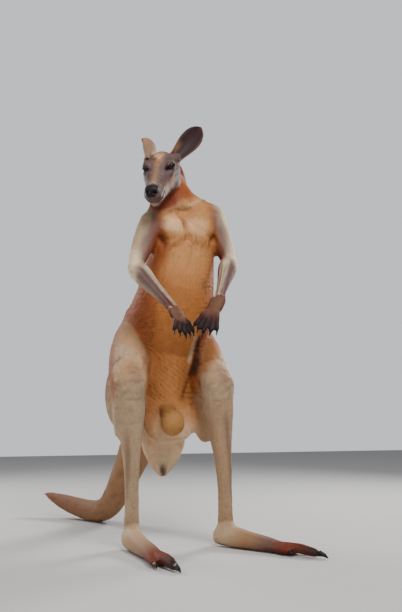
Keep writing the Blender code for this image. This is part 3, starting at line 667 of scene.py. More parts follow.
def lie_of_coat(points, normals, masks):
    """The way the hair lies at each vertex, along the nearest limbs and flat on the skin."""
    total = np.zeros_like(points)
    weights = {"spine": masks["trunk"] + masks["neck"] + masks["scrotum"], "tail": masks["tail"]}
    arms = masks["upper_arm"] + masks["forearm"] + masks["hand"]
    legs = masks["thigh"] + masks["shank"] + masks["foot"]
    for side in SIDES:
        on_side = beyond_middle(points, side)
        weights["arm_" + side] = arms * on_side
        weights["leg_" + side] = legs * on_side
    for name, line in LINES.items():
        for first, last in zip(line, line[1:]):
            away, _ = path_reach(points, [first, last])
            pull = weights[name] / (away ** 2 + 0.0006) ** 1.5
            total += pull[:, None] * unit(last - first)
    left, ahead, above = to_head(points)
    cheek = 0.06  # half the breadth of the face, where the hair turns outwards
    outwards = 0.9 * (left / cheek)[:, None] * LEFTWARD * fade(ahead, 0.0, 0.2)[:, None]
    upwards = 0.5 * (above / cheek)[:, None] * CROWNWARD * fade(ahead, 0.05, 0.26)[:, None]
    back = head_way(0, -1, 0) + outwards + upwards
    size = np.linalg.norm(total, axis=1, keepdims=True) + 1e-9
    ways = total / size * (1.0 - masks["head"])[:, None] + unit(back) * masks["head"][:, None]
    ways += 0.10 * np.stack([ripple(points, 0.16, k) for k in (1, 2, 3)], axis=1)
    return along_skin(ways, normals)


def beyond_middle(points, side):
    """Which points lie on this side of the pelvis, or just past its middle."""
    return (points[:, 0] - JOINT["pelvis"][0]) * SIDES[side] > -0.02


def even_out(values, edges, zone, times):
    """Values at the vertices, smoothed inside a zone that is given as 0 to 1 at each vertex."""
    chosen = np.flatnonzero(zone > 0.001)
    number = np.full(len(values), -1)
    number[chosen] = np.arange(len(chosen))
    inner = number[edges]
    inner = inner[(inner >= 0).all(axis=1)]
    soft = values[chosen].reshape(len(chosen), -1)
    share = zone[chosen, None]
    for _ in range(times):
        soft = soft + share * (spread(soft, inner, 1) - soft)
    smoothed = values.copy()
    smoothed[chosen] = soft.reshape(values[chosen].shape)
    return smoothed


def smooth_knee(points, edges, masks, side):
    """Runs a thigh into its shank: evens out how far the skin lies from the line of the leg."""
    path = np.array(joints_of(side, "hip", "knee", "ankle"))
    away, share = path_reach(points, path)
    lengths = np.linalg.norm(np.diff(path, axis=0), axis=1)
    marks = np.array([0.0, lengths[0], lengths.sum()]) / lengths.sum()
    nearest = np.stack([np.interp(share, marks, path[:, axis]) for axis in range(3)], axis=1)
    on_leg = np.clip(1.4 * (masks["thigh"] + masks["shank"]) - 0.4, 0, 1)
    even = even_out(away, edges, near(points, path[1], 0.085, 0.045) * on_leg, 220)
    return points + (points - nearest) * ((even - away) / np.maximum(away, 0.01))[:, None]


def smooth_joints(points, edges, masks):
    """Takes the steps between the solids out of the knees, the shoulders, the ears' roots and the nape."""
    for side, sign in SIDES.items():
        points = smooth_knee(points, edges, masks, side)
        crown = JOINT["shoulder_" + side] + (-sign * 0.022, 0.0, 0.050)
        points = even_out(points, edges, near(points, crown, 0.040, 0.045), 60)
        ear_root = from_head(sign * 0.068, 0.050, 0.052)
        points = even_out(points, edges, near(points, ear_root, 0.022, 0.022), 70)
    nape = [JOINT["neck_base"] + (0.010, 0.06, 0.02), JOINT["chest"] + (0.0, 0.11, 0.02)]
    behind = fade(points[:, 1], JOINT["chest"][1] + 0.02, JOINT["chest"][1] + 0.06)
    return even_out(points, edges, near(points, nape, 0.070, 0.060) * behind, 90)


# the relief of the face, alike on both sides: its width, its height, which is below 0 for a furrow, and its
# path in the head, outward, along the snout and up
FACE_RELIEF = {
    "mouth": (0.0030, -0.0048, *MOUTH),
    "upper lip": (0.008, 0.0022, (0.012, 0.286, -0.044), (0.028, 0.268, -0.040), (0.034, 0.236, -0.026),
                  (0.034, 0.215, -0.022)),
    "lower lip": (0.006, 0.0016, (0.014, 0.274, -0.068), (0.032, 0.252, -0.062), (0.040, 0.225, -0.050)),
    "chin": (0.012, 0.0018, (0.0, 0.250, -0.094), (0.0, 0.268, -0.082)),
    "cleft under the nose": (0.0020, -0.0028, (0.0, 0.290, -0.030), (0.0, 0.286, -0.052)),
    "rim over the nose": (0.0045, 0.0016, (0.0, 0.252, 0.004), (0.016, 0.250, 0.001), (0.028, 0.250, -0.012)),
    "brow": (0.008, 0.0036, (0.022, 0.160, 0.030), (0.044, 0.146, 0.044), (0.062, 0.112, 0.040)),
    "fold under the lid": (0.006, 0.0018, (0.026, 0.168, 0.010), (0.046, 0.158, -0.006),
                           (0.064, 0.122, -0.008)),
    "tear line": (0.007, -0.0026, (0.024, 0.168, 0.016), (0.028, 0.196, 0.002)),
    "hollow before the cheek": (0.012, -0.0024, (0.034, 0.190, -0.006), (0.036, 0.215, -0.016)),
    "temple": (0.012, -0.0022, (0.058, 0.082, 0.012), (0.064, 0.068, 0.000)),
    "cheekbone": (0.009, 0.0020, (0.050, 0.170, -0.024), (0.064, 0.135, -0.024), (0.068, 0.105, -0.022)),
    "jaw": (0.010, 0.0022, (0.044, 0.170, -0.052), (0.056, 0.120, -0.066), (0.050, 0.075, -0.070)),
    "furrow of the jowl": (0.004, -0.0020, (0.040, 0.196, -0.044), (0.046, 0.168, -0.060),
                           (0.046, 0.150, -0.078)),
    "inner furrow of the brow": (0.005, -0.0016, (0.010, 0.150, 0.044), (0.012, 0.090, 0.060)),
    "outer furrow of the brow": (0.004, -0.0012, (0.024, 0.132, 0.044), (0.026, 0.100, 0.056)),
    "room for the ear's root": (0.022, -0.0110, (0.066, 0.052, 0.046)),
}


def relief(points, path, width, height):
    """How far a soft ridge along a path lifts each point."""
    away, _ = path_reach(points, path)
    return height * np.exp(-(away / width) ** 2)


def sculpt_head(points):
    """How far the skin of the head moves along its normals: lips, nostrils, brows and folds."""
    left, ahead, above = to_head(points)
    both = np.stack([np.abs(left), ahead, above], axis=1)
    move = np.zeros(len(points))
    for width, height, *path in FACE_RELIEF.values():
        move += relief(both, path, width, height)
    return move * near(points, [from_head(0, 0.0, 0), from_head(0, 0.29, -0.03)], 0.10, 0.03)


EYE_RADIUS = float(np.mean(box_place("eye_left", 1, 1, 1) - box_place("eye_left", 0, 0, 0))) / 2
LIDS_REACH = EYE_RADIUS * 1.9  # how far from the eye's middle the skin is fitted round it
BEHIND_BALL, OVER_BALL = 0.0030, 0.0008  # how far the skin lies inside the eyeball and outside it


def eye_axes(side):
    """The eye's middle, where it looks, and the ways to its front corner and to its brow."""
    sign = SIDES[side]
    gaze = head_way(sign * 0.62, 0.68, 0.38)
    forward = head_way(-sign * 0.45, 0.86, -0.16)
    forward = unit(forward - gaze * (forward @ gaze))
    upward = np.cross(forward, gaze) * -sign
    return box_place("eye_" + side, 0.5, 0.5, 0.5), gaze, forward, upward


def lid_opening(turn):
    """How far the almond opening of the lids reaches from the eye's axis, in radians, for a turn round it."""
    wide = np.where(np.cos(turn) > 0, 1.14, 1.04)
    high = np.where(np.sin(turn) > 0, 0.46, 0.34)
    corner = np.abs(np.cos(turn)) ** 6 * np.where(np.cos(turn) > 0, 0.14, 0.02)
    return 1.0 / np.sqrt((np.cos(turn) / wide) ** 2 + (np.sin(turn) / high) ** 2) + corner


def around_eye(points, side):
    """The reach of each point from the eye's middle, its angle off the axis and its turn round it."""
    middle, gaze, forward, upward = eye_axes(side)
    away = points - middle
    reach = np.linalg.norm(away, axis=1)
    angle = np.arccos(np.clip(away @ gaze / np.maximum(reach, 1e-6), -1, 1))
    return reach, angle, np.arctan2(away @ upward, away @ forward)


def open_eyes(points):
    """Draws the skin inside the lids' opening back behind the eyeball, and keeps the rest outside it."""
    for side in SIDES:
        middle = eye_axes(side)[0]
        reach, angle, turn = around_eye(points, side)
        inside = (reach < LIDS_REACH) * (1 - fade(angle / lid_opening(turn), 1.12, 1.30))
        target = np.where(inside > 0.5, EYE_RADIUS - BEHIND_BALL, np.maximum(reach, EYE_RADIUS + OVER_BALL))
        close = reach < LIDS_REACH
        points[close] = middle + (points[close] - middle) * (target / reach)[close, None]
    return points


def nose_shape(points):
    """How much each point is nose pad, and how deep it lies in a nostril."""
    left, ahead, above = to_head(points)
    wide = np.abs(left)
    over_middle = above + 0.0185
    across = wide / (0.0265 + 0.24 * over_middle)  # the pad widens upwards
    pad = 1.0 - fade(np.abs(across) ** 2.6 + (np.abs(over_middle) / 0.0205) ** 2.6, 0.80, 1.08)
    pad *= fade(ahead, 0.250, 0.257)
    from_nostril = wide - 0.0135
    droop = above + 0.0200 + 0.35 * from_nostril
    hole = np.exp(-((from_nostril / 0.0062) ** 2 + (droop / 0.0062) ** 2) ** 1.5)
    slit = np.exp(-(((wide - 0.0215) / 0.0050) ** 2 + ((above + 0.0245) / 0.0026) ** 2))
    return pad, np.clip(hole + 0.6 * slit, 0, 1) * fade(ahead, 0.252, 0.262)


def on_breast(*places):
    """Places measured from the middle of the chest."""
    return beside(JOINT["chest"], *places)


# the breast bone, the edges of the breast muscles and the collar bones, from the middle of the chest
STERNUM = on_breast((-0.040, -0.097, 0.099), (-0.018, -0.108, 0.047), (0.001, -0.115, 0.005),
                    (0.025, -0.120, -0.048))
BREAST_EDGE = {
    "right": on_breast((-0.118, -0.070, 0.020), (-0.105, -0.082, -0.030), (-0.083, -0.103, -0.050),
                       (-0.045, -0.115, -0.033), (-0.012, -0.115, -0.001)),
    "left": on_breast((0.116, -0.080, 0.054), (0.112, -0.080, 0.009), (0.085, -0.098, -0.022),
                      (0.053, -0.113, -0.035), (0.005, -0.116, 0.001)),
}
COLLAR = {
    "right": on_breast((-0.050, -0.088, 0.128), (-0.074, -0.084, 0.118), (-0.100, -0.080, 0.099)),
    "left": on_breast((-0.037, -0.088, 0.136), (0.016, -0.082, 0.145), (0.080, -0.052, 0.186)),
}
# the folds of skin in the groins, from the pelvis
GROINS = (
    ((-0.125, -0.165, -0.020), (-0.115, -0.175, -0.070), (-0.112, -0.180, -0.150)),
    ((0.125, -0.170, -0.030), (0.112, -0.185, -0.100), (0.105, -0.180, -0.200)),
)
SAC = box_place("scrotum", 0.5, 0.4, 0.45)
FOLD_SPACING = 0.0190  # from one fold of the belly's skin to the next


def belly_folds(points):
    """Fine folds of the belly's skin: sagging between the thighs, nearly level above them; 1 in a fold."""
    across = points[:, 0] - JOINT["pelvis"][0]
    height = points[:, 2]
    low = 1.0 - fade(height, 0.74, 0.92)
    sag = 0.72 * np.sqrt((across - 0.098) ** 2 + 0.0009) * low + 0.22 * np.abs(across - 0.04) * (1 - low)
    wander = 2.6 * ripple(points, 0.16, 11)
    phase = (height - sag) * (math.tau / FOLD_SPACING) + wander + 0.8 * ripple(points, 0.05, 12)
    broken = np.clip(0.65 + 0.75 * ripple(points, 0.09, 13), 0, 1)
    return (0.5 + 0.5 * np.sin(phase)) ** 3 * broken


def folds_reach(points, normals, masks):
    """Where the belly's folds show, and how strongly: most at its sides and its lower end."""
    height = points[:, 2]
    side = fade(np.abs(points[:, 0] - JOINT["pelvis"][0] - 0.02), 0.03, 0.13)
    amount = fade(height, 0.47, 0.58) * (1.0 - fade(height, 0.90 + 0.12 * side, 1.06 + 0.10 * side))
    amount = amount * fade(-normals[:, 1], -0.7, 0.0)
    return masks["trunk"] * amount * (0.40 + 0.60 * side + 0.35 * (1 - fade(height, 0.68, 0.80)) * (1 - side))


def sculpt_body(points, normals, masks):
    """How far the skin of the body moves: breast, collar bones, folds of the belly, sinews and joints."""
    move = np.zeros(len(points))
    frontal = fade(-normals[:, 1], 0.05, 0.60)

    def ridge(path, width, height, where=1.0):
        move[:] += relief(points, path, width, height) * where

    waist = JOINT["waist"]
    ridge(STERNUM, 0.011, -0.0085, frontal)
    midline = [STERNUM[-1], *beside(waist, (-0.010, -0.155, 0.06), (-0.004, -0.160, -0.04))]
    ridge(midline, 0.014, -0.0026, frontal)
    ridge(on_breast((0.062, -0.115, -0.060), (0.075, -0.110, -0.16)), 0.020, 0.0030, frontal)
    for side, sign in SIDES.items():
        ridge(BREAST_EDGE[side], 0.010, -0.0085, frontal)
        ridge(COLLAR[side], 0.011, 0.0070)
        ridge([place + (0.0, -0.002, -0.024) for place in COLLAR[side]], 0.012, -0.0050)
        swell = on_breast((sign * 0.050, -0.105, 0.050), (sign * 0.060, -0.108, 0.010))
        ridge(swell, 0.030, 0.0080, frontal)
    move -= 0.0028 * belly_folds(points) * folds_reach(points, normals, masks)
    for path in GROINS:
        ridge(beside(JOINT["pelvis"], *path), 0.010, -0.0070)
    for across, bow in ((-0.026, -0.010), (-0.010, -0.004), (0.010, 0.004), (0.028, 0.010)):
        wrinkle = beside(SAC, (across * 0.5, -0.045, 0.034), (across + bow, -0.055, 0.0),
                         (across, -0.04, -0.036))
        ridge(wrinkle, 0.0035, -0.0024, masks["scrotum"])
    for side in SIDES:
        sculpt_leg(side, ridge)
        sculpt_arm(side, ridge)
    return move


def sculpt_leg(side, ridge):
    """The shin, the sinews over the heel, the ankle's knobs and the clefts between the toes."""
    knee, ankle, toe = joints_of(side, "knee", "ankle", "toe")
    way = unit(toe - ankle)
    outward = unit(np.cross(way, (0, 0, 1))) * SIDES[side]
    ridge([knee + way * 0.030 + (0, 0, -0.06), ankle + way * 0.040 + (0, 0, 0.10)], 0.009, 0.0035)
    for across in (-1.0, 1.0):
        sinew = [ankle - way * 0.012 + outward * across * 0.024 + (0, 0, 0.05),
                 ankle + (knee - ankle) * 0.62 - way * 0.026 + outward * across * 0.030]
        ridge(sinew, 0.010, -0.0055)
        ridge([ankle + way * 0.012 + outward * across * 0.034 + (0, 0, 0.004)], 0.014, 0.0030)
    for across in (-0.5, 0.5):
        cleft = [ankle + (toe - ankle) * 0.55 + outward * across * 0.028 + (0, 0, 0.012),
                 toe + outward * across * 0.022 + (0, 0, 0.008)]
        ridge(cleft, 0.006, -0.0025)


def sculpt_arm(side, ridge):
    """The cords of the forearm with the furrows beside them, and the muscles of the upper arm."""
    sign = SIDES[side]
    shoulder, elbow, wrist = joints_of(side, "shoulder", "elbow", "wrist")
    along = unit(wrist - elbow)
    over = unit(np.array((0, -0.4, 1.0)) - along * along[2])
    for across in (-0.4, 0.5):
        beside_crest = unit(np.cross(along, over)) * across * 0.022
        cord = [elbow + along * 0.05 + over * 0.030 + beside_crest,
                wrist - along * 0.01 + over * 0.018 + beside_crest * 0.6]
        furrow = [elbow + along * 0.05 + over * 0.026 + beside_crest * 2.2,
                  wrist + over * 0.012 + beside_crest * 1.4]
        ridge(cord, 0.006, 0.0034)
        ridge(furrow, 0.006, -0.0024)
    middle = (shoulder + elbow) / 2
    ridge([shoulder + (sign * 0.03, 0, -0.03), middle + (sign * 0.04, 0, 0)], 0.020, 0.0030)
    ridge([shoulder + (0.0, -0.045, -0.03), middle + (0.0, -0.040, 0.02)], 0.012, 0.0026)


# ---------------------------------------------------------------- markings, with painted highlights and shade


def tones_of(names):
    """The user's colours with these names, which spaces part."""
    return [colour(name) for name in names.split()]


class Paint:
    """The colour of the coat at each vertex: fields of colour laid over one another."""

    def __init__(self, points, normals, masks):
        self.points, self.normals, self.masks = points, normals, masks
        self.height = points[:, 2]
        self.tones = np.tile(colour("rust"), (len(points), 1))

    def lay(self, tone, amount):
        """Lays a tone over all the vertices, as strongly as the amount says."""
        self.tones = laid(self.tones, tone, amount)

    def spot(self, tone, path, radius, soft, amount=1.0):
        """Lays a tone within a radius of a path, fading out over the soft distance."""
        self.lay(tone, amount * near(self.points, path, radius, soft))


def paint_trunk(paint):
    """Rust back and flanks, ochre belly and buff breast, the breast bone's furrow and the navel, with painted
    highlights on the breast muscles and collar bones, and painted shade under the collar bones, along the
    breast muscles' lower edges and in the armpits.
    """
    ochre, buff, cream, rust, rose, mauve, brown = tones_of("ochre buff cream rust rose mauve brown")
    pelvis, waist, chest, neck = (JOINT[name] for name in ("pelvis", "waist", "chest", "neck_base"))
    points, height, trunk = paint.points, paint.height, paint.masks["trunk"]
    frontal = fade(-paint.normals[:, 1], -0.35, 0.55)
    front_line = [pelvis + (0, -0.20, 0), waist + (0, -0.15, 0), chest + (0, -0.10, 0), neck + (0, -0.08, 0)]
    paint.lay(ochre, frontal * near(points, front_line, 0.06, 0.10) * fade(height, 0.45, 0.60))
    paint.lay((ochre + buff) * 0.72, 0.9 * frontal * trunk * (1 - fade(height, 0.60, 0.76)))
    paint.lay(buff, 0.85 * frontal * fade(height, 0.90, 1.16) * near(points, front_line, 0.07, 0.08))
    paint.lay(rust * 0.82, 0.7 * (1 - frontal) * trunk)
    # darker rust and ochre in the armpits: painted shade where the arms meet the trunk
    right_armpit = on_breast((-0.125, -0.06, 0.060), (-0.110, -0.09, -0.030), (-0.115, -0.08, -0.080))
    left_armpit = on_breast((0.120, -0.07, 0.05), (0.115, -0.07, -0.06))
    paint.spot(rust * 0.80, right_armpit, 0.020, 0.030, 0.85 * frontal * trunk)
    paint.spot(ochre * 0.8, left_armpit, 0.012, 0.022, 0.5 * frontal * trunk)
    # paler buff and cream on the breast muscles: painted highlights where the light falls on them
    breast_highlight = 0.9 * buff + 0.5 * cream
    paint.spot(breast_highlight, on_breast((-0.074, -0.100, 0.052), (-0.050, -0.112, 0.044)), 0.012, 0.034, 0.85)
    paint.spot(breast_highlight, on_breast((0.014, -0.110, 0.060), (0.050, -0.110, 0.052)), 0.008, 0.042, 0.60)
    paint.spot(buff * 0.92, on_breast((0.0, -0.11, 0.10), (0.085, -0.08, 0.10)), 0.014, 0.030, 0.60)
    paint.spot(rust * 0.9, on_breast((-0.036, -0.100, 0.090), (-0.014, -0.110, 0.040)), 0.002, 0.014, 0.70)
    paint.spot(rose, STERNUM, 0.003, 0.013, 0.70)
    # cream along the collar bones' ridges is a painted highlight, and the darker rust just under them is
    # painted shade in the grooves below
    paint.spot(cream, COLLAR["left"], 0.002, 0.011, 0.40)
    paint.spot(cream, COLLAR["right"], 0.002, 0.010, 0.22)
    paint.spot(rust * 0.80, [place + (0, -0.004, -0.024) for place in COLLAR["left"]], 0.004, 0.020, 0.35)
    # darker rust along the lower edges of the breast muscles: painted shade in the furrows under them
    for side in SIDES:
        paint.spot(rust * 0.75, BREAST_EDGE[side], 0.003, 0.020, 0.60)
    navel = waist + (0.0787, -0.145, 0.050)
    paint.spot(mauve, beside(navel, (0, 0, 0), (-0.010, 0, -0.026)), 0.004, 0.020, 0.45)
    for drop in (0.0, 0.014, 0.026):
        paint.spot(brown, beside(navel, (-0.006, 0, -drop), (0.004, 0, -drop)), 0.0012, 0.004, 0.55)


def paint_underside(paint):
    """The thinly haired cone below the belly with its dark tip, painted shade in the belly's folds, and the
    scrotum, with painted shade in its wrinkles and where it hangs from the belly.
    """
    bare, ochre, cream, rust, mauve, brown, sac = tones_of("bare ochre cream rust mauve brown sac")
    pelvis, trunk, scrotum = JOINT["pelvis"], paint.masks["trunk"], paint.masks["scrotum"]
    paint.lay(bare, trunk * (1.0 - fade(paint.height, 0.42, 0.56)))
    right_edge = beside(pelvis, (-0.085, -0.12, -0.15), (-0.08, -0.13, -0.33))
    front_edge = beside(pelvis, (0.0, -0.16, -0.36), (-0.01, -0.10, -0.45))
    paint.spot(ochre, right_edge, 0.020, 0.035, 0.55 * trunk)
    paint.spot(cream, front_edge, 0.020, 0.035, 0.55 * trunk)
    folds = belly_folds(paint.points) * folds_reach(paint.points, paint.normals, paint.masks)
    # darker rust in the creases of the belly's folds: painted shade
    paint.lay(rust * 0.50, 0.60 * folds)
    tip = beside(pelvis, (-0.006, -0.079, -0.452), (-0.001, -0.079, -0.486))
    paint.spot(mauve * 0.36, tip, 0.008, 0.010, 0.92)
    paint.lay(sac, scrotum)
    seam = beside(SAC, (0.003, -0.06, 0.050), (0.001, -0.075, 0.004))
    paint.spot(brown, seam, 0.0016, 0.006, 0.55 * scrotum)
    # darker rust where the sac hangs from the belly: painted shade
    neck = beside(SAC, (-0.036, -0.02, 0.044), (0.0, -0.04, 0.060), (0.036, -0.02, 0.044))
    paint.spot(rust * 0.7, neck, 0.004, 0.016, 0.55)
    # darker brown in the wrinkles: painted shade in the creases
    for across in (-0.030, -0.012, 0.008, 0.028):
        wrinkle = beside(SAC, (across + 0.016, -0.045, 0.034), (across, -0.062, 0.0),
                         (across - 0.020, -0.045, -0.034))
        paint.spot(brown * 0.8, wrinkle, 0.0006, 0.0036, 0.60 * scrotum)


def leg_tone(points):
    """The pale coat of the legs and feet, a little mottled."""
    mottle = 0.95 + 0.07 * ripple(points, 0.07, 21) + 0.05 * ripple(points, 0.025, 22)
    return colour("pale") * mottle[:, None]


def paint_legs_and_tail(paint):
    """Pale legs with rusty backs, and the tan tail, darker above and towards its tip."""
    buff, rust, tan, brown = tones_of("buff rust tan brown")
    points, normals, masks = paint.points, paint.normals, paint.masks
    behind = fade(normals[:, 1], 0.0, 0.8)
    paint.lay(leg_tone(points), masks["thigh"] + masks["shank"])
    paint.lay(rust, 0.75 * masks["thigh"] * behind)
    paint.lay(buff, 0.45 * masks["shank"] * behind)
    tail = masks["tail"]
    tip = fade(path_reach(points, LINES["tail"])[1], 0.45, 1.0)
    paint.lay(tan * 0.78, tail)
    paint.lay(tan * 0.60, tail * 0.75 * fade(normals[:, 2], -0.2, 0.6))
    paint.lay(brown * 1.1, tail * 0.45 * tip)
    paint.lay(brown * 1.2, tail * 0.45 * np.clip(ripple(points, 0.05, 27) - 0.2, 0, 1))


def by_side(side, right, left):
    """The value for this side of the animal."""
    return right if side == "right" else left


def paint_thigh(paint, side):
    """The belly's orange over the top and the inner face of the thigh, its rusty outer face, and the knee."""
    ochre, buff, rust, tan, mauve = tones_of("ochre buff rust tan mauve")
    hip, knee = joints_of(side, "hip", "knee")
    sign, height = SIDES[side], paint.height
    outward = paint.normals[:, 0] * sign
    thigh = paint.masks["thigh"] * beyond_middle(paint.points, side)
    top = knee[2] + by_side(side, 0.150, 0.112)
    slant = (paint.points[:, 0] - knee[0]) * sign
    over = fade(height - 0.90 * slant, top - 0.015, top + 0.030)
    paint.lay(ochre * 0.94, thigh * over * by_side(side, 0.5, 0.95))
    outer = fade(outward, 0.55, 0.95) * fade(paint.normals[:, 1], -0.45, 0.0) * fade(height, 0.52, 0.60)
    paint.lay(rust, thigh * outer * 0.8)
    inner = fade(-outward, 0.50, 0.92) * by_side(side, fade(height, 0.50, 0.60), over)
    paint.lay(ochre * 0.92, thigh * 0.9 * inner)
    middle = knee + (hip - knee) * 0.35
    paint.spot(buff, [middle + (sign * 0.02, -0.08, 0.0)], 0.02, 0.07, by_side(side, 0.60, 0.25))
    paint.spot(tan * 0.85, beside(knee, (-0.02, -0.03, 0.02), (-0.012, -0.05, 0.06)), 0.012, 0.040, 0.35)
    paint.spot(mauve, beside(knee, (0.0, -0.04, 0.090), (0.018, -0.05, 0.030)), 0.008, 0.040, 0.35)


def paint_shank(paint, side):
    """A tan cast, and a dark line along the shin."""
    tan, mauve = tones_of("tan mauve")
    knee, ankle = joints_of(side, "knee", "ankle")
    shank = paint.masks["shank"] * beyond_middle(paint.points, side)
    paint.lay(tan * 0.85, shank * by_side(side, 0.10, 0.42))
    shin = [knee + (SIDES[side] * 0.020, -0.03, -0.10), ankle + (SIDES[side] * 0.016, -0.02, 0.06)]
    paint.spot(mauve * 0.9, shin, 0.003, 0.014, 0.50)


def paint_upper_arm(paint, side):
    """Dark in front, pale outside, paler still on the left arm as a painted highlight, and reddish inside,
    partly painted shade towards the body.
    """
    cream, pale, throat, mauve = tones_of("cream pale throat mauve")
    shoulder, elbow = joints_of(side, "shoulder", "elbow")
    sign = SIDES[side]
    outward = paint.normals[:, 0] * sign
    arm = paint.masks["upper_arm"] * beyond_middle(paint.points, side)
    arm = arm * near(paint.points, [shoulder, elbow], 0.056, 0.018)
    paint.lay(mauve * by_side(side, 1.25, 1.0), arm)
    # the left arm's paler, creamier outer face is a painted highlight
    outer_tone = by_side(side, pale * 0.92, 0.45 * pale + 0.62 * cream)
    paint.lay(outer_tone, arm * (0.15 + 0.80 * fade(outward, -0.30, 0.55)))
    # dark rust inside the arm: partly its coat, partly painted shade where the arm faces the body
    paint.lay(throat, arm * 0.80 * fade(-outward, 0.15, 0.85))
    front = [shoulder + (-sign * 0.01, -0.06, -0.02), (shoulder + elbow) / 2 + (0, -0.05, 0)]
    paint.spot(mauve * 1.1, front, 0.010, 0.030, 0.55)


def paint_forearm(paint, side):
    """A painted highlight in cream along the upward crest, cream round the elbow, dark towards the wrist, and
    dark inside, partly painted shade towards the body.
    """
    cream, brown, throat, mauve = tones_of("cream brown throat mauve")
    elbow, wrist = joints_of(side, "elbow", "wrist")
    sign, upward = SIDES[side], paint.normals[:, 2]
    outward = paint.normals[:, 0] * sign
    forearm = paint.masks["forearm"] * beyond_middle(paint.points, side)
    share = path_reach(paint.points, [elbow, wrist])[1]
    # cream on the upward crest is a painted highlight; the cream underneath is the coat's own
    lit_crest = fade(upward - 0.25 * outward, 0.45, 0.85)
    under = fade(-upward + 0.5 * outward, 0.30, 0.90)
    paint.lay(mauve * 0.95, forearm)
    paint.lay(cream * 0.92, forearm * (0.95 * lit_crest + 0.55 * under * (1 - 0.7 * share)))
    paint.lay(brown, forearm * 0.7 * fade(share, 0.60, 1.0) * (1 - 0.8 * lit_crest))
    # darker inside the forearm: partly its coat, partly painted shade where it faces the body
    paint.lay(throat * 0.6, forearm * 0.7 * fade(-outward, 0.45, 0.95))
    round_elbow = beside(elbow, (sign * 0.02, 0, 0.03), (sign * 0.02, -0.01, -0.04))
    paint.spot(cream, round_elbow, 0.026, 0.035, 0.92)


def paint_hand(paint, side):
    """Brown, with a painted highlight in tan over the upward knuckles, and nearly black fingers."""
    tan, brown, black = tones_of("tan brown black")
    hand = paint.masks["hand"] * beyond_middle(paint.points, side)
    share = path_reach(paint.points, joints_of(side, "wrist", "fingers"))[1]
    above = fade(paint.normals[:, 2] - paint.normals[:, 1], 0.3, 1.1)
    paint.lay(brown * 0.62, hand)
    # tan on the upward back of the hand is a painted highlight
    paint.lay(tan * 0.6, hand * 0.40 * above * (1 - fade(share, 0.30, 0.65)))
    paint.lay(black * 1.4, hand * 0.92 * fade(share, 0.36, 0.80))


def paint_foot(paint, side):
    """Pale at the ankle, darkening to black toes, with a brown sole."""
    tan, brown, black, throat, mauve = tones_of("tan brown black throat mauve")
    foot = paint.masks["foot"] * beyond_middle(paint.points, side)
    share = path_reach(paint.points, joints_of(side, "ankle", "toe"))[1]
    paint.lay(leg_tone(paint.points), foot)
    paint.lay(tan * 0.80, foot * fade(share, 0.02, 0.30) * by_side(side, 0.6, 0.95))
    paint.lay(mauve * 0.75, foot * fade(share, 0.25, 0.55) * by_side(side, 0.5, 0.85))
    paint.lay(throat * 0.85, foot * fade(share, 0.48, 0.70))
    paint.lay(black * 1.5, foot * fade(share, 0.74, 1.0) * 0.85)
    paint.lay(brown, foot * 0.8 * fade(-paint.normals[:, 2], 0.4, 0.9))


def paint_groin_shade(paint):
    """Painted shade: a dark line along the crease where the belly ends over the left thigh, with a pale line
    on its right.
    """
    cream, rust, stripe = tones_of("cream rust stripe")
    front = (paint.masks["trunk"] + paint.masks["thigh"]) * fade(-paint.normals[:, 1], -0.2, 0.1)
    no_depth = np.array((1, 0, 1))  # measured square to the front, so that no step in depth breaks the stripe
    flat = paint.points * no_depth
    run = beside(JOINT["pelvis"], (0.112, -0.172, 0.045), (0.102, -0.175, -0.045), (0.090, -0.159, -0.096))
    run = [place * no_depth for place in run]
    pale_line = [place + (-0.022, 0, 0) for place in run[:2]]
    tail_off = beside(run[-1], (0, 0, 0), (-0.012, 0, -0.044), (-0.030, 0, -0.094))
    paint.lay(cream * 0.8, 0.60 * front * near(flat, pale_line, 0.003, 0.009))
    # the dark line is painted shade in the crease between the belly and the left thigh
    paint.lay(stripe * 0.55, 0.96 * front * near(flat, run, 0.006, 0.009))
    paint.lay(rust * 0.50, 0.65 * front * near(flat, tail_off, 0.002, 0.009))


def paint_body(paint):
    """The coat of the body, from the trunk outwards."""
    paint_trunk(paint)
    paint_underside(paint)
    paint_legs_and_tail(paint)
    for side in SIDES:
        for part in (paint_thigh, paint_shank, paint_upper_arm, paint_forearm, paint_hand, paint_foot):
            part(paint, side)
    paint_groin_shade(paint)


